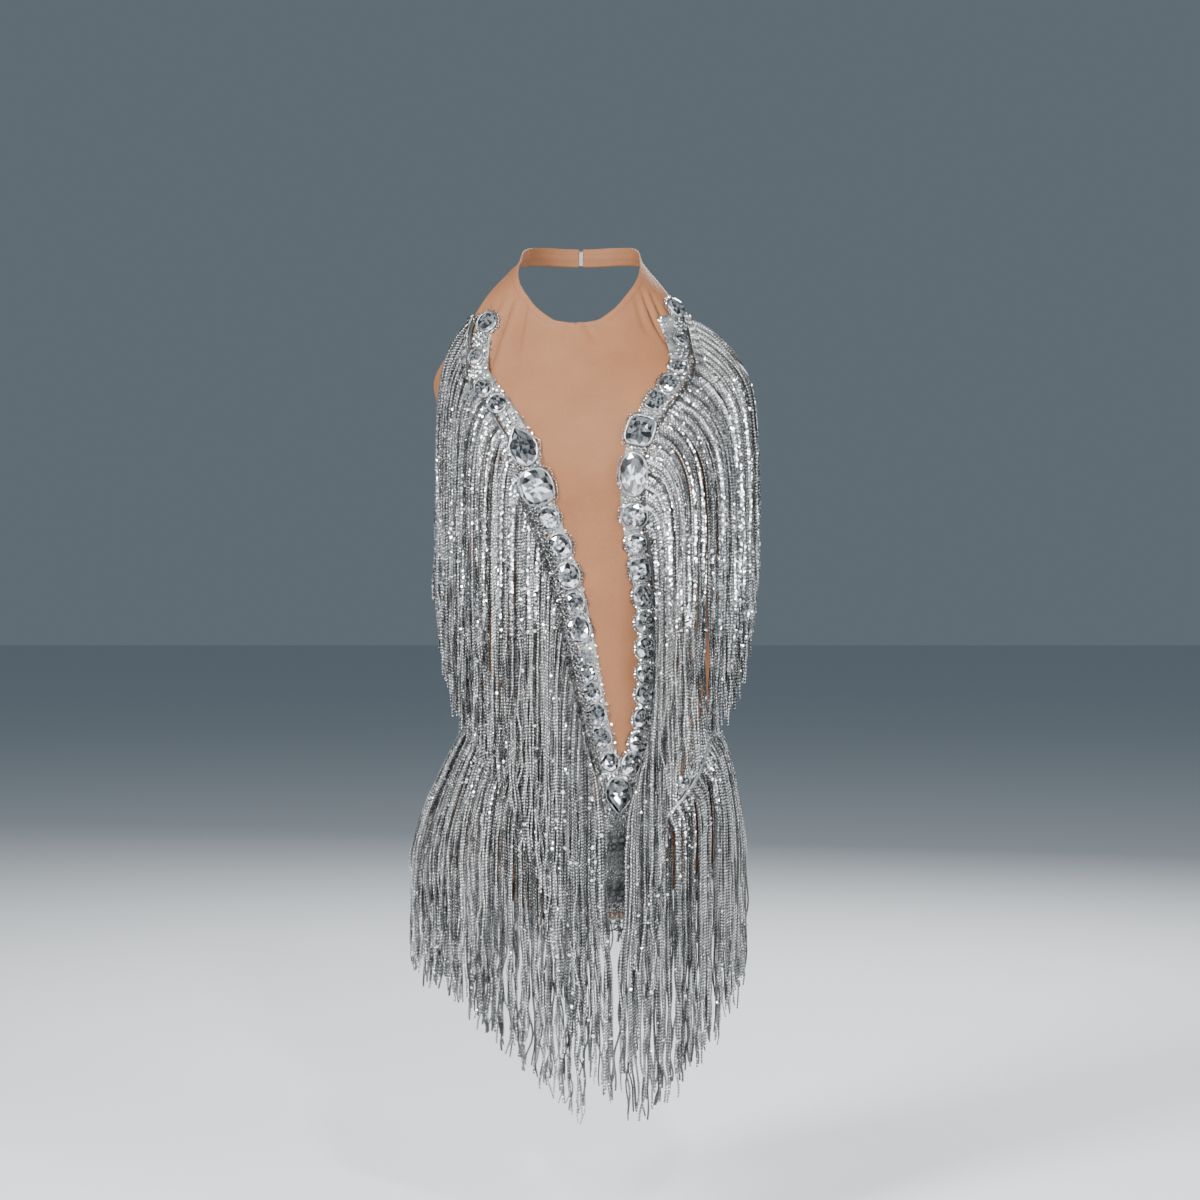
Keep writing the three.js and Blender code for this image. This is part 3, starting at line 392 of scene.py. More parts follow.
def cloth_piece(name, halves, edges, creases, stands_for):
    """A panel from the places of its two halves, as angle and height: the outer face, raised 0.35 mm over
    the turned hem beside its open edges, with a UV map in millimetres and one that follows the hem."""
    places = np.concatenate([half.reshape(-1, 2) for half in halves])
    faces, first = [], 0
    for half in halves:
        half_faces = grid_faces(*half.shape[:2], first)
        faces.append(half_faces if half[..., 0].mean() > 0 else half_faces[:, ::-1])
        first += half.shape[0] * half.shape[1]
    faces = np.concatenate(faces)
    flat_points = lifted(places[:, 0], places[:, 1], CLOTH, creases)
    kept, faces = weld(flat_points, faces)
    places, flat_points = places[kept], flat_points[kept]
    hem = nearest_edge(flat_points, [inner_face(edge[:, 0], edge[:, 1], creases) for edge in edges])
    turned = HEM["raised"] * (1 - smoothstep(hem[:, 1], HEM["flat_from"], HEM["flat_to"]))
    points = lifted(places[:, 0], places[:, 1], CLOTH - HEM["sunk"] + turned, creases)
    width = np.radians(places[:, 0]) * WORN_CURVE["half_width"](places[:, 1])
    maps = {"cloth": np.stack([width, places[:, 1]], 1), "hem": hem}
    made = add_piece(name, points, faces, NUDE_KNIT, "nude_knit", stands_for, maps)
    return give_thickness(made, KNIT_WALL)


def row_places(start_angle, start_z, end_angle, end_z, shares, rise=lambda t: t):
    """Rows of places from the start of a row to its end: angle and height move by the shares."""
    start_angle, start_z, end_angle, end_z = (np.atleast_1d(v)[:, None] for v in
                                              (start_angle, start_z, end_angle, end_z))
    return np.stack([start_angle + (end_angle - start_angle) * shares,
                     start_z + (end_z - start_z) * rise(shares)], -1)


def mirrored(half):
    """The same places on the wearer's right."""
    return half * np.array([-1, 1])


front_centre_z = smooth_curve(FRONT_CUT[:, 0], FRONT_CUT[:, 1])
front_side_angle = smooth_curve(FRONT_CUT[:, 0], FRONT_CUT[:, 2])
front_side_z = smooth_curve(FRONT_CUT[:, 0], FRONT_CUT[:, 3])
halter_curves = [smooth_curve(HALTER_CUT[:, 0], HALTER_CUT[:, i]) for i in range(1, 5)]
SEAM_ANGLE = 0.1    # half the gap of a side seam, in degrees


def halter_places(rows, shares):
    """Places of the halter's rows, from the neckline to the armhole by the shares."""
    return row_places(*(curve(rows) for curve in halter_curves), shares)


ROW_STEPS, LEG_ROW, ARMHOLE_ROW, TOP_ROW = 10, 4, 12, 15
front_shares = np.linspace(0, 1, 65)
front_lower_rows = np.linspace(0, TOP_ROW, TOP_ROW * ROW_STEPS + 1)
front_upper_rows = np.linspace(0, NECK_SEAM_ROW, NECK_SEAM_ROW * ROW_STEPS + 1)
front_lower = row_places(np.zeros(len(front_lower_rows)), front_centre_z(front_lower_rows),
                         np.minimum(front_side_angle(front_lower_rows), 90 - SEAM_ANGLE),
                         front_side_z(front_lower_rows), front_shares)
front_half = np.concatenate([front_lower, halter_places(front_upper_rows[1:], front_shares)])
neck_edge = halter_places(front_upper_rows, np.array([0.0]))[:, 0]
arm_edge = np.concatenate([front_lower[ARMHOLE_ROW * ROW_STEPS:, -1],
                           halter_places(front_upper_rows, np.array([1.0]))[:, 0]])
leg_edge = front_lower[:LEG_ROW * ROW_STEPS + 1, -1]
front_edges = [edge for half in (neck_edge, arm_edge, leg_edge) for edge in (half, mirrored(half))]
front_panel = cloth_piece("front_knit", [front_half, mirrored(front_half)], front_edges,
                          FRONT_CREASES, ["front_panel"])

# Back. The same knit in one piece, from the leg line to a low scooped edge, joined to the front
# at the side seams. Its top edge is turned and stitched, and it creases over the seat and waist.
BACK_CUT = np.array([
    (0, -612, 156, -612), (1, -598, 132, -590), (2, -580, 112, -567), (3, -556, 98, -541),
    (4, -526, 90, -512), (5, -493, 90, -476), (6, -458, 90, -430), (7, -424, 90, -382),
    (8, -392, 90, -332), (9, -363, 90, -285), (10, -338, 90, -244), (11, -317, 90, -204),
    (12, -300, 90, -162),
], float)
BACK_CREASES = np.array([
    (98, -300, 128, -332, 7, 1.0), (-98, -306, -126, -336, 7, 1.0),
    (96, -352, 150, -372, 8, 1.4), (-96, -348, -152, -370, 8, 1.4),
    (100, -388, 160, -402, 7, 1.2), (-100, -392, -158, -404, 7, 1.1),
    (104, -422, 140, -412, 6, 0.9), (-104, -426, -142, -414, 6, 0.9),
    (132, -560, 166, -590, 7, 1.2), (-132, -560, -166, -590, 7, 1.2),
    (118, -548, 150, -566, 6, 0.9), (-118, -548, -150, -566, 6, 0.9),
    (176, -330, 172, -440, 5, 0.7), (-175, -345, -170, -450, 5, 0.6),
    (97, -210, 106, -262, 5, 0.8), (-97, -206, -106, -260, 5, 0.8),
], float)


def scooped(t):
    """Rise of a back row from the centre to the side: slow at first, so the low back dips round."""
    return t * t * (1.7 - 0.7 * t)


back_curves = [smooth_curve(BACK_CUT[:, 0], BACK_CUT[:, i]) for i in range(1, 4)]
back_rows = np.linspace(0, ARMHOLE_ROW, 101)
back_side_z = np.where(back_rows > LEG_ROW, front_side_z(back_rows), back_curves[2](back_rows))
back_half = row_places(np.full(len(back_rows), 180.0), back_curves[0](back_rows),
                       np.maximum(back_curves[1](back_rows), 90 + SEAM_ANGLE), back_side_z,
                       np.linspace(0, 1, 49), scooped)[:, ::-1]
back_leg_edge = back_half[back_rows <= LEG_ROW, 0]
back_edges = [edge for half in (back_half[-1], back_leg_edge) for edge in (half, mirrored(half))]
back_panel = cloth_piece("back_knit", [back_half, mirrored(back_half)], back_edges,
                         BACK_CREASES, ["back_panel"])

# Halter straps. The knit's two narrow ends, sewn on at the sides of the neck and carried round to the
# nape, turned under and stitched along both edges.
SEAM_ROW = 0.026
strap_rows = np.linspace(NECK_SEAM_ROW + SEAM_ROW, 10, 61)
strap_half = halter_places(strap_rows, np.linspace(0, 1, 13))
STRAP_CREASES = np.array([(98, 12, 112, -14, 3, 0.5), (-104, 12, -116, -14, 3, 0.5)], float)
for name, places in (("left", strap_half), ("right", mirrored(strap_half))):
    cloth_piece(f"halter_strap_knit_{name}", [places], [places[:, 0], places[:, -1]],
                                     STRAP_CREASES, [f"halter_strap_{name}"])

# Crotch gusset. A short strip of the same knit, narrowest in its middle, that joins the front and the
# back between the leg openings. Its edges are turned and stitched.
GUSSET = {"front_z": -622.3, "front_half": 14, "back_z": -612.3, "back_half": 24,
          "leave_width": 0.82, "arrive_width": 0.82 * 0.8, "width_mm": 80, "length_mm": 120}
GUSSET_FRONT_DROP, GUSSET_BACK_DROP = np.array([0, 20, -26.0]), np.array([0, -26, -34.0])
gusset_u, gusset_t = np.meshgrid(np.linspace(-1, 1, 25), np.linspace(0, 1, 41))


def gusset_face(u, t, lift):
    """Cubic arc from the front seam, down and up again to the back seam, narrowed between."""
    start = lifted(GUSSET["front_half"] * u, np.full(u.shape, GUSSET["front_z"]), lift)
    end = lifted(180 - GUSSET["back_half"] * u, np.full(u.shape, GUSSET["back_z"]), lift)
    leave = start + GUSSET_FRONT_DROP - np.array([0, 0, lift])
    arrive = end + GUSSET_BACK_DROP - np.array([0, 0, lift])
    middle = inner_face(0, GUSSET["front_z"])[0]
    leave[..., 0] = middle + (leave[..., 0] - middle) * GUSSET["leave_width"]
    arrive[..., 0] = middle + (arrive[..., 0] - middle) * GUSSET["arrive_width"]
    t = t[..., None]
    return (start * (1 - t) ** 3 + leave * 3 * t * (1 - t) ** 2
            + arrive * 3 * t * t * (1 - t) + end * t ** 3)


gusset_points = gusset_face(gusset_u, gusset_t, CLOTH).reshape(-1, 3)
gusset_half = GUSSET["width_mm"] / 2
gusset_places = np.stack([gusset_u.ravel() * gusset_half, gusset_t.ravel() * GUSSET["length_mm"]], 1)
gusset_hem = np.stack([gusset_places[:, 1], gusset_half - np.abs(gusset_places[:, 0])], 1)
gusset = add_piece("gusset_knit", gusset_points, grid_faces(*gusset_u.shape)[:, ::-1], NUDE_KNIT,
                   "nude_knit", ["crotch_gusset"], {"cloth": gusset_places, "hem": gusset_hem})
give_thickness(gusset, KNIT_WALL)

# Silver panel. A narrow piece of silver cloth on the lower front, covered in loops of silver cord that
# are couched down, so that it looks like the trim above it.
PANEL = {"top_z": -534, "foot_z": -619, "top_half": 9, "foot_half": 12.5, "face": CLOTH + 1.6}
CORD_TWIST = 2.9    # millimetres along a cord in one turn of its plies
FINE_TWIST = 0.85
CORD_START = 1.937  # how much later in its twist each cord starts than the one before it


def tube_faces(count, steps, sides):
    """Corner numbers of many tubes, each with the given steps along it and sides round it: the walls, and
    the flat caps that close their ends."""
    at = np.arange(count * steps * sides).reshape(count, steps, sides)
    over = np.roll(at, -1, axis=2)
    walls = np.stack([at[:, :-1], over[:, :-1], over[:, 1:], at[:, 1:]], -1).reshape(-1, 4)
    caps = np.concatenate([at[:, 0, ::-1], at[:, -1]])
    return walls, caps


def cord_tubes(paths, facing, radius, sides=4):
    """Cords along many paths at once: a ring of points, square to the path, at each of its points. facing
    is roughly outwards, and radius is one number or one for each point. The corners' UV places hold the
    cord's number plus the share round it, and the millimetres along it."""
    along = unit(np.gradient(paths, axis=1))
    across = unit(np.cross(along, facing))
    out = np.cross(across, along)
    turn = 2 * np.pi * (np.arange(sides) + 0.5) / sides
    radius = np.broadcast_to(radius, paths.shape[:2])[..., None, None]
    ring = (across[:, :, None] * np.cos(turn)[:, None] + out[:, :, None] * np.sin(turn)[:, None]) * radius
    points = (paths[:, :, None] + ring).reshape(-1, 3)
    count, steps = paths.shape[:2]
    walls, caps = tube_faces(count, steps, sides)
    run = np.cumsum(np.linalg.norm(np.diff(paths, axis=1, prepend=paths[:, :1]), axis=2), axis=1)
    run = run + (np.arange(count) * CORD_START % CORD_TWIST)[:, None]
    low, high = run[:, :-1, None], run[:, 1:, None]
    side = np.arange(sides) / sides + np.arange(count)[:, None, None] + np.zeros((1, steps - 1, 1))
    corner = [np.stack([side + extra / sides, np.broadcast_to(level, side.shape)], -1)
              for extra, level in ((0, low), (1, low), (1, high), (0, high))]
    corner = np.stack(corner, 3).reshape(-1, 4, 2)
    corner = np.concatenate([corner, np.zeros((len(caps), sides, 2))])
    return points, np.concatenate([walls, caps]), corner


def silver_cloth_finish():
    """Dull silver lame: fine ribs that run down, and worn, darker patches."""
    finish = Finish("silver cloth", Metallic=0.65, Roughness=0.42)
    place = finish.node("ShaderNodeTexCoord", None, None, "Object")
    part = finish.parts(place)
    ribs = finish.waves(part[0], 0.0011)
    patches = finish.grain(place, 140, 3.0)
    colour = finish.blend(patches.step_between(0.3, 0.7), (0.20, 0.207, 0.207, 1), (0.42, 0.43, 0.43, 1))
    finish.feed("Base Color", colour)
    finish.feed("Roughness", 0.36 + patches * 0.2)
    finish.relief(ribs * 0.5 + patches, 0.0004, 0.6)
    return finish.material


def silver_cord_finish():
    """Twisted metallic yarn: bright plies that wind round the cord, with painted shade in the grooves between
    them, and whole cords and lengths of cord painted darker as shade of cords that lie under others.
    """
    finish = Finish("twisted silver cord", Metallic=0.82, Roughness=0.34)
    place = finish.node("ShaderNodeTexCoord", None, None, "Object")
    round_it, along = finish.parts(finish.node("ShaderNodeUVMap", {"uv_map": "cord"}))[:2]
    ply = finish.waves(along * (1 / CORD_TWIST) + round_it, 1)
    fine = finish.waves(along * (1 / FINE_TWIST) + round_it * 2, 1)
    lengths = finish.grain(place, 60, 2.0)
    # lit marks the plies' crests; the grooves between them take the dark colour below, painted shade of the
    # twist.
    lit = ply.step_between(-0.75, 0.35)
    # Cords picked by their number, and lengths picked by noise, are darkened towards near-black: painted
    # shade of cords lying under others, and painted differences in what the cords reflect.
    own = ((round_it + 0.01).whole() * 7.13).sine()
    colour = finish.blend(lit, (0.105, 0.109, 0.109, 1), (0.98, 0.985, 0.975, 1))
    painted_cord_shade = own.step_between(-0.5, 0.8) * 0.74 + lengths.step_between(0.35, 0.68) * 0.25
    colour = finish.blend(painted_cord_shade, colour, (0.06, 0.062, 0.062, 1))
    finish.feed("Base Color", colour)
    finish.feed("Roughness", 0.40 - lit * 0.18)
    finish.relief(ply + fine * 0.25, 0.0006, 1.0)
    return finish.material


SILVER_CLOTH, SILVER_CORD = silver_cloth_finish(), silver_cord_finish()


def cord_piece(name, paths, facing, radius):
    """Cords along paths, as one piece of twisted silver cord."""
    points, faces, corners = cord_tubes(paths, facing, radius)
    return add_piece(name, points, faces, SILVER_CORD, "silver_cord", (), {"cord": corners})


panel_t, panel_u = np.meshgrid(np.linspace(0, 1, 41), np.linspace(-1, 1, 33), indexing="ij")
panel_z = PANEL["foot_z"] + (PANEL["top_z"] - PANEL["foot_z"]) * panel_t
panel_angle = (PANEL["foot_half"] + (PANEL["top_half"] - PANEL["foot_half"]) * panel_t) * panel_u
panel_points = lifted(panel_angle, panel_z, PANEL["face"]).reshape(-1, 3)
silver_panel = add_piece("silver_panel_cloth", panel_points, grid_faces(41, 33), SILVER_CLOTH,
                         "silver_cloth", ["silver_front_panel"])
give_thickness(silver_panel, 0.7)


def looped_rows(start, end, loops, radius, squash=0.8, steps=14):
    """Rows of couched loops in the plane of angle-run and height, in millimetres: a point that goes round
    a circle while the circle moves from the start of the row to its end."""
    t = np.linspace(0, loops, loops * steps + 1)
    turn = 2 * np.pi * t[None, :]
    middle = start[:, None] + (end - start)[:, None] * (t / loops)[None, :, None]
    return middle + np.stack([np.cos(turn), squash * np.sin(turn)], -1) * radius[:, None, None]


def degrees_of(run, z):
    """Angle whose sine is the run in millimetres from the centre front, over half the width there."""
    return np.degrees(np.arcsin(np.clip(run / WORN_CURVE["half_width"](z), -0.999, 0.999)))


random = np.random.default_rng(7)
LOOP_ROWS = 24
loop_rows_z = np.linspace(-504, -641, LOOP_ROWS)
loop_half = np.minimum(22 + (loop_rows_z + 537) * -0.10, 15 + (loop_rows_z + 504) * -0.35)
row_start = np.stack([-loop_half + random.uniform(-1, 1, LOOP_ROWS), loop_rows_z], 1)
row_end = np.stack([loop_half + random.uniform(-1, 1, LOOP_ROWS),
                    loop_rows_z + random.uniform(-2, 2, LOOP_ROWS)], 1)
panel_loops = looped_rows(row_start, row_end, 7, random.uniform(3.6, 4.6, LOOP_ROWS))
loops_z = panel_loops[..., 1]
loops_angle = degrees_of(panel_loops[..., 0], loops_z)
on_panel = smoothstep(loops_z, -624, -619) * (1 - smoothstep(loops_z, -533, -528))
panel_lift = CLOTH + 1.4 + 1.6 * on_panel + 0.5 * np.sin(np.arange(panel_loops.shape[1]) * 0.9)[None, :]
panel_cords = cord_piece("silver_panel_loops", lifted(loops_angle, loops_z, panel_lift),
                         outward(loops_angle, loops_z), 0.7)

# V bands. Two bands of glass crystals in metal cups, from the halter down to the point below the waist.
# The cups are sewn to a silver tape and ringed with cord and small faceted beads, and a drop stone
# closes the point. Small sequins and beads are scattered over the tape.
V_COLUMNS = ("across", "z", "width", "hang_left", "hang_right")
V_LINE = np.array([
    (0, 84, -66, 19, 168, -137), (1, 92, -92, 19, 161, -132), (2, 94, -116, 19, 151, -124),
    (3, 84, -138, 19, 138, -112), (4, 69, -160, 20, 120, -96), (5, 54, -188, 21, 100, -79),
    (6, 43, -228, 21, 84, -62), (7, 36, -270, 20, 75, -44), (8, 31.5, -325, 19, 74, -28),
    (9, 29, -378, 19, 71, -18), (10, 24.5, -424, 18, 64, -8), (11, 17, -464, 17, 54, 8),
    (12, 9.5, -496, 17, 41, 26),
], float)
V_CURVE = {name: smooth_curve(V_LINE[:, 0], V_LINE[:, i + 1]) for i, name in enumerate(V_COLUMNS)}
V_END = 12.0
BAND_LIFT = CLOTH + 0.35

# Crystals in the order they are sewn, from the halter down: place across and height as seen from the
# front, width, length and cut. A cluster is a group of small stones instead of one.
V_STONES = {
    "right": [
        (-88.4, -72.5, 19, 19, "round"), (-95, -88.5, 16, 13, "cluster"), (-99, -106, 13, 14, "round"),
        (-99, -121.5, 16, 13, "cluster"), (-91.1, -137.6, 15, 20, "oval"), (-77.2, -153.5, 16, 19, "oval"),
        (-66.5, -169, 17, 14, "cluster"), (-53, -193.4, 24, 35, "drop"), (-40, -229.7, 28, 31, "cushion"),
        (-28.9, -258.5, 18, 20, "oval"), (-18.6, -284.4, 20, 22, "round"), (-11.2, -312.3, 21, 23, "round"),
        (-5.6, -338, 18, 19, "round"), (-1.9, -362.7, 21, 23, "oval"), (3.7, -388, 17, 14, "cluster"),
        (6.5, -403, 15, 16, "round"), (10.3, -421.5, 17, 18, "round"), (14.5, -441, 17, 18, "oval"),
        (19.6, -463, 18, 19, "round"), (27, -485.5, 17, 18, "round"),
    ],
    "left": [
        (91.1, -58.6, 20, 20, "round"), (94.9, -76.3, 16, 13, "cluster"), (95.8, -91, 13, 14, "round"),
        (94.9, -105.5, 15, 13, "cluster"), (91.5, -120, 15, 14, "round"), (81.8, -135.9, 15, 19, "oval"),
        (69.8, -152.5, 15, 19, "emerald"), (55.8, -180.6, 24, 26, "emerald"), (49.3, -218.6, 24, 37, "oval"),
        (50.2, -255.8, 23, 23, "round"), (52.1, -281.7, 18, 18, "round"), (55.8, -306, 17, 19, "emerald"),
        (58.6, -331, 17, 20, "oval"), (60.5, -356, 17, 19, "round"), (61.4, -380, 17, 19, "oval"),
        (61, -403, 16, 17, "round"), (60.5, -423, 17, 18, "round"), (58.6, -446.4, 17, 19, "oval"),
        (55, -468.5, 18, 19, "round"), (47.5, -487.5, 17, 22, "oval"),
    ],
}
CUTS = {"round": (2.0, 0.0), "oval": (2.1, 0.0), "drop": (2.0, 0.75), "cushion": (3.0, 0.0),
        "emerald": (4.5, 0.0)}
STONE_RISE = 5.2


def v_place(side, row, offset):
    """Place beside the V band's middle, as angle and height; the offset is away from the centre front."""
    ahead, behind = np.minimum(row + 0.05, V_END), np.maximum(row - 0.05, 0)
    run = V_CURVE["across"](ahead) - V_CURVE["across"](behind)
    drop = V_CURVE["z"](ahead) - V_CURVE["z"](behind)
    length = np.hypot(run, drop)
    z = V_CURVE["z"](row) + run / length * offset
    return side * degrees_of(V_CURVE["across"](row) - drop / length * offset, z), z


def angle_at_x(x, z, lift, start=-88.0, end=88.0):
    """Angle at which a point at a given distance outside the inner face has a given X: the range from
    start to end is halved 14 times, and the half that holds X is kept."""
    low, high = np.full(np.shape(x), start), np.full(np.shape(x), end)
    for _ in range(14):
        middle = (low + high) / 2
        before = lifted(middle, z, lift)[..., 0] < x
        low, high = np.where(before, middle, low), np.where(before, high, middle)
    return (low + high) / 2


def strip_solid(angle, z, low, high):
    """A flat strip over grids of places, closed all round, between two heights over the inner face: the
    outer row of points and the inner row turned back make a ring, and the rings are joined."""
    outer, inner = lifted(angle, z, high), lifted(angle, z, low)
    rows, columns = angle.shape
    ring = np.concatenate([outer, inner[:, ::-1]], 1)
    at = np.arange(ring.shape[0] * ring.shape[1]).reshape(ring.shape[:2])
    over = np.roll(at, -1, axis=1)
    faces = np.stack([at[:-1], over[:-1], over[1:], at[1:]], -1).reshape(-1, 4)
    half = np.arange(columns - 1)
    caps = [np.stack([row[half], row[2 * columns - 1 - half], row[2 * columns - 2 - half], row[half + 1]], 1)
            for row in (at[0], at[-1])]
    caps[1] = caps[1][:, ::-1]
    return ring.reshape(-1, 3), np.concatenate([faces, *caps])


def crystal_finish():
    """Foil-backed glass: each facet is painted light or dark by its own tone, a painted reflection, and the
    face is glassy.
    """
    finish = Finish("foiled crystal", Metallic=0.9, Roughness=0.06, Coat_Weight=0.6, Coat_Roughness=0.02)
    tone = finish.node("ShaderNodeAttribute", {"attribute_name": "facet"}, None, "Fac")
    colour = finish.blend(tone, (0.035, 0.04, 0.045, 1), (0.93, 0.95, 0.97, 1))
    finish.feed("Base Color", colour)
    return finish.material


def cup_metal_finish():
    """Grey plated metal of the cups and the nape clasp, speckled lighter and darker by fine noise."""
    finish = Finish("cup metal", Metallic=1.0, Roughness=0.3)
    place = finish.node("ShaderNodeTexCoord", None, None, "Object")
    wear = finish.grain(place, 900, 2.0)
    colour = finish.blend(wear.step_between(0.35, 0.65), (0.24, 0.24, 0.245, 1), (0.55, 0.56, 0.57, 1))
    finish.feed("Base Color", colour)
    finish.feed("Roughness", 0.22 + wear * 0.2)
    return finish.material


def sequin_finish():
    """Silver film, bright, with a little difference from one sequin or bead to the next."""
    finish = Finish("silver film", Metallic=0.95, Roughness=0.16)
    tone = finish.node("ShaderNodeAttribute", {"attribute_name": "tone"}, None, "Fac")
    finish.feed("Base Color", finish.blend(tone, (0.45, 0.455, 0.46, 1), (0.97, 0.975, 0.98, 1)))
    return finish.material


CRYSTAL, CUP_METAL, SILVER_FILM = crystal_finish(), cup_metal_finish(), sequin_finish()


def film_piece(name, points, faces, tone):
    """Beads or sequins of silver film, flat faced, with a tone for each of their points."""
    return add_piece(name, points, faces, SILVER_FILM, "silver_cord", (), None, {"tone": tone}, False)


def stone_seats(places_x, places_z, lift, along_line):
    """Where stones sit: centre, outward direction and direction along the band, one row for each."""
    angle = angle_at_x(places_x, places_z, np.full(len(places_x), lift))
    centre, out = lifted(angle, places_z, lift), outward(angle, places_z)
    line = np.gradient(centre, axis=0) if along_line else np.tile([0, 0, -1.0], (len(centre), 1))
    along = unit(line - (line * out).sum(1, keepdims=True) * out)
    return centre, out, along


def outline(sides, power, pinch, shift=0.0):
    """Unit outline of a cut stone: a rounded square, where the powers of |x| and |y| add up to 1, drawn in
    towards one end by the pinch."""
    turn = 2 * np.pi * (np.arange(sides) + 0.5 + shift) / sides
    cosine, sine = np.cos(turn), np.sin(turn)
    reach = (np.abs(cosine) ** power[:, None] + np.abs(sine) ** power[:, None]) ** (-1 / power[:, None])
    x, y = reach * cosine, reach * sine
    x = x * (1 - pinch[:, None] * np.clip(-y, 0, 1) ** 1.4)
    return x, y


def rings_of(centre, out, along, wide, long, levels, sides, power, pinch):
    """Rings of points round each seat: every level gives a scale, a rise and a share of a step to turn.
    A point is the centre plus the outline's x across, its y along and the rise outwards."""
    across = np.cross(along, out)
    made = []
    for scale, rise, shift in levels:
        x, y = outline(sides, power, pinch, shift)
        made.append(centre[:, None] + across[:, None] * (x * wide[:, None] / 2 * scale)[..., None]
                    + along[:, None] * (y * long[:, None] / 2 * scale)[..., None]
                    + out[:, None] * np.broadcast_to(rise, (len(centre),))[:, None, None])
    return np.stack(made, 1)


def cut_stones(centre, out, along, wide, long, rise, power, pinch, sides=12):
    """Faceted stones: rings for the foot, girdle, crown, table and star, and a point in the middle."""
    levels = [(0.9, -0.8, 0), (1.0, rise * 0.3, 0), (0.8, rise * 0.74, 0.5), (0.52, rise, 0),
              (0.24, rise * 0.93, 0.5)]
    rings = rings_of(centre, out, along, wide, long, levels, sides, power, pinch)
    tips = np.stack([centre - out * 0.8, centre + out * (rise * 0.98)[:, None]], 1)
    count, heights = rings.shape[:2]
    points = np.concatenate([rings.reshape(count, -1, 3), tips], 1)
    at = np.arange(heights * sides).reshape(heights, sides)
    over = np.roll(at, -1, axis=1)
    shapes = []
    for low in range(heights - 1):
        a, b, c, d = at[low], over[low], over[low + 1], at[low + 1]
        if levels[low][2] > levels[low + 1][2]:
            shapes += [np.stack([a, b, c], 1), np.stack([a, c, d], 1)]
        else:
            shapes += [np.stack([a, b, d], 1), np.stack([b, c, d], 1)]
    foot, top = heights * sides, heights * sides + 1
    shapes += [np.stack([over[0], at[0], np.full(sides, foot)], 1),
               np.stack([at[-1], over[-1], np.full(sides, top)], 1)]
    shape = np.concatenate(shapes)
    faces = (shape[None] + (np.arange(count) * points.shape[1])[:, None, None]).reshape(-1, 3)
    return points.reshape(-1, 3), faces


def small_beads(centre, out, along, size, flat=1.0, sides=6):
    """Faceted beads or sequins: a ring of points with a tip on either side of it, as far out as the ring's
    radius times flat."""
    across = np.cross(along, out)
    turn = 2 * np.pi * np.arange(sides) / sides
    size = size[:, None, None] / 2
    ring = across[:, None] * np.cos(turn)[:, None] + along[:, None] * np.sin(turn)[:, None]
    ring = centre[:, None] + ring * size
    tips = centre[:, None] + out[:, None] * np.array([-flat, flat])[:, None] * size
    at = np.arange(sides)
    over = np.roll(at, -1)
    shape = np.concatenate([np.stack([over, at, np.full(sides, sides)], 1),
                            np.stack([at, over, np.full(sides, sides + 1)], 1)])
    faces = (shape[None] + (np.arange(len(centre)) * (sides + 2))[:, None, None]).reshape(-1, 3)
    return np.concatenate([ring, tips], 1).reshape(-1, 3), faces


def stone_cups(centre, out, along, wide, long, rise, power, pinch, sides=16):
    """Metal cups: a closed band round each stone that rises from the tape to just over the girdle."""
    levels = [(0.95, -1.2, 0), (1.05, -1.2, 0), (1.06, rise * 0.2, 0), (1.01, rise * 0.42, 0),
              (0.94, rise * 0.34, 0)]
    rings = rings_of(centre, out, along, wide, long, levels, sides, power, pinch)
    count, heights = rings.shape[:2]
    at = np.arange(heights * sides).reshape(heights, sides)
    over = np.roll(at, -1, axis=1)
    next_ring = np.roll(np.arange(heights), -1)
    shape = np.stack([at, over, over[next_ring], at[next_ring]], -1).reshape(-1, 4)
    faces = (shape[None] + (np.arange(count) * heights * sides)[:, None, None]).reshape(-1, 4)
    return rings.reshape(-1, 3), faces[:, ::-1]


def round_each(centre, out, along, wide, long, power, pinch, scale, rise, count):
    """Points evenly spread on an outline round each seat, with the directions out and onwards there."""
    rings = rings_of(centre, out, along, wide, long, [(scale, rise, 0)], count, power, pinch)[:, 0]
    onwards = unit(np.roll(rings, -1, axis=1) - rings)
    return rings, np.broadcast_to(out[:, None], rings.shape), onwards


def cluster_seats(centre, out, along, wide, long):
    """Seats of the small stones of each cluster: one in the middle and six round it, a third of the
    cluster's width away."""
    across = np.cross(along, out)
    turn = np.concatenate([[0], 2 * np.pi * np.arange(6) / 6 + 0.4])
    reach = np.concatenate([[0], np.full(6, 0.33)])
    x, y = reach * np.cos(turn), reach * np.sin(turn)
    places = (centre[:, None] + across[:, None] * (x * wide[:, None])[..., None]
              + along[:, None] * (y * long[:, None])[..., None])
    spread = (np.broadcast_to(way[:, None], places.shape).reshape(-1, 3) for way in (out, along))
    return places.reshape(-1, 3), *spread


def joined(*parts):
    """Several meshes as one: their points one after the other, and their corner numbers moved on."""
    first, faces = 0, []
    for points, corners in parts:
        faces.append(corners + first)
        first += len(points)
    return np.concatenate([points for points, _ in parts]), np.concatenate(faces)


# Tones of the facets' painted reflections, from near-black to white.
FACET_REFLECTION_TONES = np.array([0.04, 0.12, 0.3, 0.55, 0.85, 1.0])
CLUSTER_STONE = 4.6
BEADS_ROUND, LOOPS_ROUND, LOOP_POINTS = 26, 9, 63


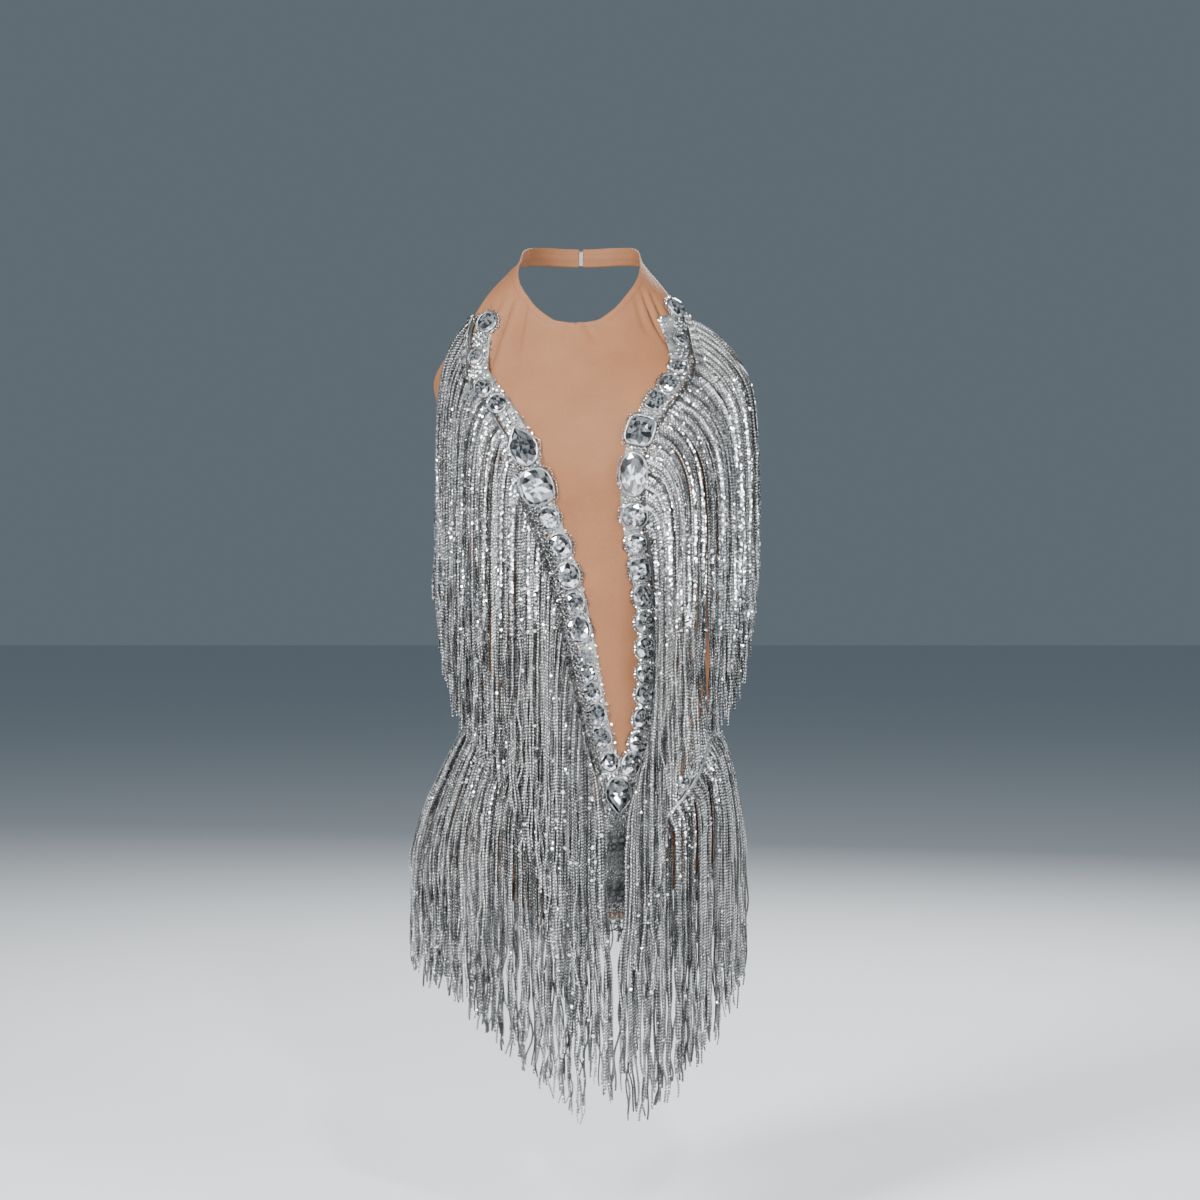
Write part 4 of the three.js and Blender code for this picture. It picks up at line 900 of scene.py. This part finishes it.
def stone_trim(name, seats, wide, long, cuts, rise, stands_for, grown=1.1):
    """The stones, cups, bead rings and looped cords of one band, from its stones' seats and sizes."""
    centre, out, along = seats
    cluster = np.array([cut == "cluster" for cut in cuts])
    whole = ~cluster
    wide, long = wide * grown, long * grown
    power, pinch = np.array([CUTS.get(cut, (2, 0)) for cut in cuts])[whole].T
    big = [v[whole] for v in (centre, out, along, wide, long)]
    stones = cut_stones(*big, rise[whole], power, pinch)
    cups = [stone_cups(*big, rise[whole], power, pinch)]
    if cluster.any():
        small = cluster_seats(*(v[cluster] for v in (centre, out, along, wide, long)))
        size = np.full(len(small[0]), CLUSTER_STONE)
        even = np.full(len(size), 2.0), np.zeros(len(size))
        stones = joined(stones, cut_stones(*small, size, size, size * 0.5, *even, 6))
        cups.append(stone_cups(*small, size, size, size * 0.5, *even, 8))
    # Each facet gets a random tone from near-black to white: a painted reflection of light and dark
    # surroundings.
    tones = random.choice(FACET_REFLECTION_TONES, len(stones[1]))
    made = add_piece(f"{name}_stones", *stones, CRYSTAL, "crystal", stands_for, None, {"facet": tones}, False)
    cup_piece = add_piece(f"{name}_cups", *joined(*cups), CUP_METAL, "clasp_metal")
    side = np.minimum(wide[whole], long[whole])[:, None]
    beads = [v.reshape(-1, 3) for v in round_each(*big, power, pinch, 1 + 2.9 / side, -0.3, BEADS_ROUND)]
    bead_size = random.uniform(1.5, 2.1, len(beads[0]))
    bead_piece = film_piece(f"{name}_beads", *small_beads(*beads, bead_size, 0.9),
                            np.repeat(random.uniform(0.3, 1, len(bead_size)), 8))
    petals = 5.2 + 1.5 * np.sin(LOOPS_ROUND * 2 * np.pi * np.arange(LOOP_POINTS) / LOOP_POINTS)
    ring, ring_out, _ = round_each(*big, power, pinch, 1 + petals / side, -0.8, LOOP_POINTS)
    ring, ring_out = (np.concatenate([v, v[:, :2]], 1) for v in (ring, ring_out))
    return [made, cup_piece, bead_piece, cord_piece(f"{name}_ring_cords", ring, ring_out, 0.5)]


v_bands = []
for side, name in ((1, "left"), (-1, "right")):
    rows, shares = np.meshgrid(np.linspace(0, V_END, 121), np.linspace(-0.42, 0.42, 7), indexing="ij")
    angle, z = v_place(side, rows, shares * V_CURVE["width"](rows))
    tape = add_piece(f"v_band_tape_{name}", *strip_solid(angle, z, BAND_LIFT - 0.3, BAND_LIFT + 0.5),
                     SILVER_CLOTH, "silver_cloth")
    table = V_STONES[name]
    x, height, wide, long = np.array([row[:4] for row in table], float).T
    cuts = [row[4] for row in table]
    seats = stone_seats(x, height, BAND_LIFT + 1.2, True)
    rise = STONE_RISE * np.clip(wide / 22, 0.75, 1.15)
    v_bands += [tape, *stone_trim(f"v_band_{name}", seats, wide, long, cuts, rise, [f"v_stone_band_{name}"])]


def scattered(name, angle, z, over):
    """Small flat sequins and beads sewn over a tape at random, leaning all ways."""
    count = len(angle)
    lean = unit(outward(angle, z) + random.normal(0, 0.35, (count, 3)))
    lie = unit(np.cross(lean, random.normal(0, 1, (count, 3))))
    place = lifted(angle, z, BAND_LIFT + over + random.uniform(0.9, 2.0, count))
    mesh = small_beads(place, lean, lie, random.uniform(1.8, 3.2, count), 0.35)
    return film_piece(name, *mesh, np.repeat(random.uniform(0.1, 1, count), 8))


V_SPECKS, POINT_SPECKS, HIP_SPECKS = 620, 240, 320
for side, name in ((1, "left"), (-1, "right")):
    row = random.uniform(0, V_END, V_SPECKS)
    angle, z = v_place(side, row, random.uniform(-0.52, 0.72, V_SPECKS) * V_CURVE["width"](row))
    v_bands.append(scattered(f"v_band_specks_{name}", angle, z, 0))
drop_seat = stone_seats(np.array([35.3]), np.array([-516.0]), 1.9 + CLOTH, False)
drop_wide, drop_long, drop_rise = (np.array([size]) for size in (22.0, 29.0, 6.0))
v_bands += stone_trim("v_drop", [drop_seat[0], drop_seat[1], -drop_seat[2]], drop_wide, drop_long, ["drop"],
                      drop_rise, ["v_drop_stone"], 1.2)
speck_angle, speck_z = random.uniform(-1, 1, POINT_SPECKS), random.uniform(-536, -494, POINT_SPECKS)
v_bands.append(scattered("v_band_specks_point", speck_angle * 8.4, speck_z, 0))

POINT_TAPE_HALF = 21.5
point_turn, point_z = np.meshgrid(np.linspace(-1, 1, 9), np.linspace(-535, -494, 9))
point_tape = strip_solid(degrees_of(point_turn * POINT_TAPE_HALF, point_z), point_z, BAND_LIFT - 0.3,
                         BAND_LIFT + 0.4)
v_bands.append(add_piece("v_band_tape_point", *point_tape, SILVER_CLOTH, "silver_cloth"))

# Looped trim. Three strands of silver cord, couched down in loops along the outer edge of each V band.
# On the right band the lower loops stand up from the tape.
for side, name, first_row, loops in ((1, "left", 1.5, 62), (-1, "right", 4.5, 52)):
    row = np.linspace(first_row, V_END - 0.1, 900)
    turn = np.linspace(0, 2 * np.pi * loops, 900)
    strands = []
    for reach, phase, radius in ((11.0, 0.0, 3.4), (15.5, 1.9, 4.0), (19.5, 4.0, 3.6)):
        offset = reach + radius * np.cos(turn + phase)
        angle, z = v_place(side, row + 0.075 * np.sin(turn + phase), offset)
        over = 5.0 * smoothstep(row, 4.5, 7.5) if side < 0 else 0.0
        high = BAND_LIFT + 1.0 + over + 0.55 * np.sin(turn * 2.3 + phase)
        strands.append((lifted(angle, z, high), outward(angle, z)))
    v_bands.append(cord_piece(f"v_band_loops_{name}", *(np.stack(part) for part in zip(*strands)), 0.68))

# Hip bands. A chevron of small crystals and beads on silver tape, low in front, high at the sides
# and level round the back, sewn flat to the knit.
HIP_LINE = np.array([(5, -556), (25, -515), (50, -466), (75, -436), (105, -424), (140, -430),
                     (180, -438)], float)
hip_z = smooth_curve(HIP_LINE[:, 0], HIP_LINE[:, 1])
HIP_WIDTH = 13.0
HIP_STONES = 15
HIP_START = {"left": 3.0, "right": 6.0}


def hip_place(angle, offset):
    """Place beside the hip band's middle, as angle and height; the offset goes down across the band."""
    turn = np.abs(angle)
    run = np.radians(1.0) * WORN_CURVE["half_width"](hip_z(turn))
    rise = hip_z(turn + 0.5) - hip_z(turn - 0.5)
    length = np.hypot(run, rise)
    return np.sign(angle) * (turn + offset * rise / (length * run)), hip_z(turn) - offset * run / length


def over_panel(angle, z):
    """Extra height of what crosses the silver panel."""
    half = PANEL["foot_half"]
    return 1.9 * (1 - smoothstep(np.abs(angle), half, half + 5)) * (1 - smoothstep(z, -534, -522))


hip_bands = []
for side, name in ((1, "left"), (-1, "right")):
    for part, start, end, nodes in (("", HIP_START[name], 89.6, [f"hip_stone_band_{name}"]),
                                    ("back_", 90.4, 179.6, [f"hip_stone_band_back_{name}"])):
        turn, offset = np.meshgrid(np.linspace(start, end, 61), np.linspace(-0.5, 0.5, 5), indexing="ij")
        angle, z = hip_place(side * turn, offset * HIP_WIDTH)
        base = BAND_LIFT + over_panel(angle, z)
        strip = strip_solid(angle, z, base - 0.3, base + 0.5)
        hip_bands.append(add_piece(f"hip_band_tape_{part}{name}", *strip, SILVER_CLOTH, "silver_cloth"))
        angle, z = hip_place(side * np.linspace(start + 3, end - 3, HIP_STONES), np.zeros(HIP_STONES))
        lift = BAND_LIFT + 1.0 + over_panel(angle, z)
        centre, out = lifted(angle, z, lift), outward(angle, z)
        line = np.gradient(centre, axis=0)
        along = unit(line - (line * out).sum(1, keepdims=True) * out)
        cuts = ["oval" if i % 3 else "cluster" for i in range(HIP_STONES)]
        wide, long, rise = (np.full(HIP_STONES, size) for size in (9.0, 11.5, 3.2))
        hip_bands += stone_trim(f"hip_band_{part}{name}", (centre, out, along), wide, long, cuts, rise, nodes)
        angle, z = hip_place(side * random.uniform(start, end, HIP_SPECKS),
                             random.uniform(-0.7, 0.95, HIP_SPECKS) * HIP_WIDTH)
        hip_bands.append(scattered(f"hip_band_specks_{part}{name}", angle, z, over_panel(angle, z)))

# Fringe. Twisted silver cords, each doubled over a tape and left to hang: about 31 cm from the V bands
# and 25 cm from the hip bands. Sequins are threaded on their upper parts.
DROP_STEP = 4.0
CORD_RADIUS = 0.98
SEQUIN_PITCH = 2.7
CORD_WAVES = ((0.75, 0.5, 1.3), (0.55, 2.0, 4.2), (0.25, 5.0, 8.5))    # size, slowest and fastest pace
CLUMP = {"cords": 4, "pull": 0.55, "most": 4.5}
# The tape key is the place in the cord finish that the fringe's tape takes: on the V bands a near-black
# place, painted shadow between the cords' roots, and on the hips a mid silver.
BUST_CORDS = {"length": 308, "uneven": 0.022, "short_by": 26, "short": 0.12, "layers": 7.6, "loose": 3.4,
              "dressed": 0.42, "segments": 40, "root": CLOTH + 2.4, "sequin": 3.7, "tape": (2.0, -0.72)}
HIP_CORDS = {"length": 248, "uneven": 0.03, "short_by": 24, "short": 0.14, "layers": 4.6, "loose": 3.8,
             "dressed": 0.4, "segments": 33, "root": CLOTH + 2.2, "sequin": 3.0, "tape": (5.0, -0.1)}
TAPE = {"gap": 0.75, "width": 4.0, "under": CLOTH + 0.2}    # the fringe's tape, a gap away from the band


def star_of(points):
    """Angle and share of the section's reach at which points lie, measured round the section's middle:
    the way back from a point to the ellipse's sine and cosine."""
    section = {name: curve(points[..., 2]) for name, curve in WORN_CURVE.items()}
    turn = np.radians(section["twist"])
    dx, dy = points[..., 0] - section["centre_x"], points[..., 1] - section["centre_y"]
    forward = dx * np.sin(turn) - dy * np.cos(turn)
    sine = (dx * np.cos(turn) + dy * np.sin(turn)) / section["half_width"]
    cosine = forward / np.where(forward > 0, section["front"], section["back"])
    return np.degrees(np.arctan2(sine, cosine)), np.hypot(sine, cosine)


def star_point(angle, share, z):
    """The point at an angle and share of the section's reach, on an ellipse that much larger."""
    section = {name: curve(z) for name, curve in WORN_CURVE.items()}
    turn, round_it = np.radians(section["twist"]), np.radians(angle)
    across = share * section["half_width"] * np.sin(round_it)
    forward = share * np.where(np.cos(round_it) > 0, section["front"], section["back"]) * np.cos(round_it)
    return np.stack([section["centre_x"] + across * np.cos(turn) + forward * np.sin(turn),
                     section["centre_y"] + across * np.sin(turn) - forward * np.cos(turn), z], -1)


def straight_out(points):
    """Level direction outwards at each point, from its place on the section to twice as far out."""
    angle = star_of(points)[0]
    return unit(star_point(angle, 2.0, points[..., 2]) - star_point(angle, 1.0, points[..., 2]))


def hanging_paths(cords, root, kick, fall, over=0.0):
    """Paths of many cords at once. Each leaves its root square to the tape, and fall gives its next place
    from the last one, a step lower each time. The paths are then cut to length, a little uneven and with
    some short ones, and divided into equal segments."""
    count, root_lift, segments = len(root[0]), cords["root"] + over, cords["segments"]
    length = cords["length"] * (1 + random.normal(0, cords["uneven"], count))
    length = length - cords["short_by"] * (random.random(count) < cords["short"])
    points = [lifted(root[0], root[1], root_lift), lifted(kick[0], kick[1] - 1.5, root_lift + 0.3)]
    for _ in range(int(length.max() / DROP_STEP) + 4):
        points.append(fall(points[-1], points[-1][:, 2] - DROP_STEP))
    path = np.stack(points, 1)
    run = np.cumsum(np.linalg.norm(np.diff(path, axis=1, prepend=path[:, :1]), axis=2), axis=1)
    share = np.linspace(0, 1, segments + 1)
    return np.stack([np.stack([np.interp(share * cut, one_run, one[:, i]) for i in range(3)], 1)
                     for one, one_run, cut in zip(path, run, length)])


def swayed(paths, loose):
    """Paths bent a little: three waves of each cord's own pace that grow with the share of its length to
    the power 2.1, and ends that draw together in clumps of a few neighbouring cords."""
    count, steps = paths.shape[:2]
    share = np.linspace(0, 1, steps)[None, :]
    out = straight_out(paths)
    across = unit(np.cross(out, np.array([0, 0, 1.0])))
    size = loose * random.uniform(0.5, 1.5, (count, 1)) * (0.12 + share ** 2.1)
    for direction, weight in ((across, 1.0), (out, 0.5)):
        wave = 0
        for part, slowest, fastest in CORD_WAVES:
            pace, phase = random.uniform(slowest, fastest, (count, 1)), random.uniform(0, 1, (count, 1))
            wave = wave + part * np.sin(2 * np.pi * (pace * share + phase))
        fade = smoothstep(share, 0.0, 0.12)
        paths = paths + direction * (weight * size * wave * fade)[..., None]
    clump = np.cumsum(random.random(count) < 1 / CLUMP["cords"])
    members = np.maximum(np.bincount(clump), 1)
    mean = np.stack([np.bincount(clump, paths[:, -1, i]) / members for i in range(3)], 1)[clump]
    pull = CLUMP["pull"] * smoothstep(share, 0.55, 1.0)
    shift = (mean - paths[:, -1])[:, None] * pull[..., None]
    shift[..., 2] = 0
    reach = np.linalg.norm(shift, axis=2, keepdims=True)
    return paths + shift * np.minimum(1, CLUMP["most"] / np.maximum(reach, 1e-6))


def threaded_sequins(paths, chance, size):
    """Sequins along cords: flat five-sided dishes that face outwards, turned and tilted a little, kept
    where a random number is under the chance for that cord and height."""
    steps = paths.shape[1]
    length = np.linalg.norm(np.diff(paths, axis=1), axis=2).sum(1)
    first = random.uniform(0, 1, (len(paths), 1))
    along = (np.arange(int(length.max() / SEQUIN_PITCH))[None, :] + first) * SEQUIN_PITCH / length[:, None]
    cord, _ = np.nonzero(along < 0.985)
    place = along[along < 0.985] * (steps - 1)
    low = np.clip(place.astype(int), 0, steps - 2)
    part = (place - low)[:, None]
    point = paths[cord, low] * (1 - part) + paths[cord, low + 1] * part
    down = unit(paths[cord, low + 1] - paths[cord, low])
    keep = random.random(len(point)) < chance(cord, point[:, 2], place / (steps - 1))
    point, down = point[keep], down[keep]
    out = straight_out(point)
    across = unit(np.cross(down, out))
    cord, place = cord[keep], (place / (steps - 1))[keep]
    lean, pace = random.normal(0, 34, len(paths)), random.uniform(0.6, 1.8, len(paths))
    phase = random.uniform(0, 6.3, len(paths))
    drift = 26 * np.sin(2 * np.pi * pace[cord] * place + phase[cord])
    turn = np.radians(lean[cord] + drift + random.normal(0, 9, len(point)))[:, None]
    tilt = np.radians(8 * np.sin(2.7 * drift) + random.normal(0, 8, len(point)))[:, None]
    face = unit(out * np.cos(turn) + across * np.sin(turn) + down * np.sin(tilt))
    centre = point + face * 1.15
    lie = unit(down - face * (down * face).sum(1, keepdims=True))
    points, faces = small_beads(centre, face, lie, random.uniform(0.85, 1.1, len(centre)) * size, 0.14, 5)
    return points, faces, np.repeat(random.uniform(0.25, 1.0, len(centre)), 7)


def fringe_piece(name, cords, paths, tape, chance):
    """One length of fringe: its tape and cords in one piece, and its sequins in another. The tape takes one
    place of the cord's finish all over; on the V bands' fringes that place is near-black, painted shadow
    between the cords' roots."""
    thickness = CORD_RADIUS * random.uniform(0.86, 1.12, (len(paths), 1)) * np.ones((1, paths.shape[1]))
    thickness[:, -1] *= 0.9
    points, faces, corners = cord_tubes(paths, straight_out(paths), thickness)
    tape_corners = np.broadcast_to(cords["tape"], (len(tape[1]), 4, 2))
    made = add_piece(f"{name}_cords", *joined((points, faces), tape), SILVER_CORD, "silver_cord", [name],
                     {"cord": np.concatenate([corners, tape_corners])})
    return [made, film_piece(f"{name}_sequins", *threaded_sequins(paths, chance, cords["sequin"]))]


PANEL_MIDDLE_X = 31


def bust_fringe(side, name, count):
    """The fringe of one V band: cords rooted along the band's outer edge, in three loose layers."""
    hang = V_CURVE["hang_left" if side > 0 else "hang_right"]
    crowd = 1.2 if side > 0 else 1.0
    share = (np.arange(count) + 0.5) / count
    row = 0.1 + (V_END - 0.15) * share ** crowd
    edge = V_CURVE["width"](row) / 2 + TAPE["gap"]
    root, kick = v_place(side, row, edge + 3), v_place(side, row, edge + 8)
    root_x = inner_face(*kick)[:, 0]
    hang_x = hang(row) + random.normal(0, 1.3, count)
    swing = 30 - 10 * np.minimum(1, row / 6)
    layer = random.uniform(0, BUST_CORDS["layers"], count)

    def fall(last, z):
        """Swings to its own place across, and lies on the cloth or hangs clear in front of it. Below the
        silver panel the middle cords draw together, by a bell of their distance from its middle."""
        settle = 4.6 + 10.6 * (1 - smoothstep(z, -440, -370)) + layer
        height = settle + (BUST_CORDS["root"] - settle) * np.exp((z - root[1]) / 9)
        x = hang_x + (root_x - hang_x) * np.exp((z - root[1]) / swing)
        bell = np.exp(-((x - PANEL_MIDDLE_X) / 18) ** 2)
        x = x + (PANEL_MIDDLE_X - x) * 0.85 * bell * (1 - smoothstep(z, -690, -600))
        lying = lifted(angle_at_x(x, z, height), z, height)
        cup = lifted(angle_at_x(x, z, height, min(0.0, side * 50.0), max(0.0, side * 50.0)), z, height)
        front = np.where(np.abs(cup[:, 0] - x) < 1.5, np.minimum(cup[:, 1], lying[:, 1]), lying[:, 1])
        return np.stack([x, np.minimum(last[:, 1], front), z], 1)

    paths = swayed(hanging_paths(BUST_CORDS, root, kick, fall), BUST_CORDS["loose"])
    dressed = random.random(count) < BUST_CORDS["dressed"]

    def chance(cord, z, share):
        """Close together on the dressed cords from the chest to the waist, and few anywhere else."""
        bright = smoothstep(z, -385, -335) * (1 - smoothstep(z, -140, -118))
        return np.where(dressed[cord], 0.03 + 0.92 * bright, 0.01 + 0.07 * bright)

    rows, across = np.meshgrid(np.linspace(0.1, V_END - 0.05, 121), np.linspace(0, TAPE["width"], 3),
                               indexing="ij")
    angle, z = v_place(side, rows, V_CURVE["width"](rows) / 2 + TAPE["gap"] + across)
    tape = strip_solid(angle, z, TAPE["under"], CLOTH + 2.2)
    return fringe_piece(name, BUST_CORDS, paths, tape, chance)


def hip_fringe(side, name, start, end, count):
    """A length of the hip band's fringe, in two loose layers."""
    turn = side * (start + (end - start) * (np.arange(count) + 0.5) / count)
    near = HIP_WIDTH / 2 + TAPE["gap"]
    root, kick = hip_place(turn, near + 3), hip_place(turn, near + 8)
    aim_angle = kick[0] + random.normal(0, 1.2, count)
    layer = random.uniform(0, HIP_CORDS["layers"], count)
    over = over_panel(*root)

    def fall(last, z):
        """Lies on the cloth where that spreads, and falls straight once it draws in: the larger of its
        last share of the section's reach and the share at which the cloth is."""
        settle = 4.2 + layer
        height = settle + (HIP_CORDS["root"] + over - settle) * np.exp((z - root[1]) / 9)
        angle_now, share_now = star_of(np.stack([last[:, 0], last[:, 1], z], 1))
        angle = np.where(z > root[1] - 30, aim_angle, angle_now)
        return star_point(angle, np.maximum(share_now, star_of(lifted(angle, z, height))[1]), z)

    paths = swayed(hanging_paths(HIP_CORDS, root, kick, fall, over), HIP_CORDS["loose"])
    dressed = random.random(count) < HIP_CORDS["dressed"]

    def chance(cord, z, share):
        """Close together near the dressed cords' roots, and a few at their ends."""
        bright = 1 - smoothstep(share, 0.12, 0.34)
        ends = 0.5 * smoothstep(share, 0.72, 0.86)
        return np.where(dressed[cord], 0.012 + 0.6 * bright + 0.12 * ends, 0.006)

    turns, across = np.meshgrid(np.linspace(start, end, 61), np.linspace(0, TAPE["width"], 3),
                                indexing="ij")
    angle, z = hip_place(side * turns, near + across)
    over = over_panel(angle, z)
    tape = strip_solid(angle, z, TAPE["under"] + over, CLOTH + 2.0 + over)
    return fringe_piece(name, HIP_CORDS, paths, tape, chance)


fringes = []
for side, name in ((1, "left"), (-1, "right")):
    fringes += bust_fringe(side, f"bust_fringe_{name}", 255)
    fringes += hip_fringe(side, f"hip_fringe_{name}", HIP_START[name], 89.6, 200)
    fringes += hip_fringe(side, f"hip_fringe_back_{name}", 90.6, 181.2, 125)

# Nape clasp. A flat hook plate of plated metal that holds the two strap ends together at the nape.
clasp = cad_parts["nape_clasp"]
clasp.data.materials.clear()
clasp.data.materials.append(CUP_METAL)

# Studio. A plain pale floor, soft lights and the camera straight in front of the suit.
floor_mesh = bpy.data.meshes.new("floor")
FLOOR_REACH, FLOOR_Z = 30, -0.95
floor_corners = [(x * FLOOR_REACH, y * FLOOR_REACH, FLOOR_Z) for x, y in ((-1, -1), (1, -1), (1, 1), (-1, 1))]
floor_mesh.from_pydata(floor_corners, [], [(0, 1, 2, 3)])
floor = bpy.data.objects.new("floor", floor_mesh)
bpy.context.scene.collection.objects.link(floor)
floor_finish = Finish("pale floor", Roughness=0.8)
floor_finish.surface.inputs["Base Color"].default_value = (0.76, 0.79, 0.82, 1)
floor_mesh.materials.append(floor_finish.material)

world = bpy.data.worlds.new("studio")
bpy.context.scene.world = world
world.use_nodes = True
sky = world.node_tree.nodes["Background"].inputs
sky["Color"].default_value, sky["Strength"].default_value = (0.24, 0.30, 0.35, 1), 0.5

# Soft boxes: place, width, height and power of each, all turned to the suit's middle.
SUIT_MIDDLE = Vector((0.01, -0.06, -0.40))
for name, place, width, height, power in (
        ("key", (-1.7, -2.0, 1.0), 0.7, 1.1, 185), ("fill", (1.9, -1.9, 0.2), 0.5, 1.5, 66),
        ("back light", (0.6, 1.9, 1.2), 1.6, 1.0, 85), ("sparkle", (0.45, -2.2, 0.9), 0.14, 0.14, 44)):
    lamp = bpy.data.lights.new(name, "AREA")
    lamp.shape, lamp.size, lamp.size_y, lamp.energy = "RECTANGLE", width, height, power
    light = bpy.data.objects.new(name, lamp)
    bpy.context.scene.collection.objects.link(light)
    light.location = place
    light.rotation_euler = (SUIT_MIDDLE - Vector(place)).to_track_quat("-Z", "Y").to_euler()

# The frame is 1.116 m wide at 2.22 m from the lens, which is near the suit's front.
SENSOR, FRAME_WIDTH, FRAME_AWAY = 36, 1.116, 2.22
lens_view = bpy.data.cameras.new("front view")
lens_view.sensor_width, lens_view.lens = SENSOR, SENSOR * FRAME_AWAY / FRAME_WIDTH
camera = bpy.data.objects.new("front view", lens_view)
bpy.context.scene.collection.objects.link(camera)
camera.location, camera.rotation_euler = (0.0186, -2.356, -0.335), (np.pi / 2, 0, 0)
bpy.context.scene.camera = camera

bpy.context.view_layer.update()
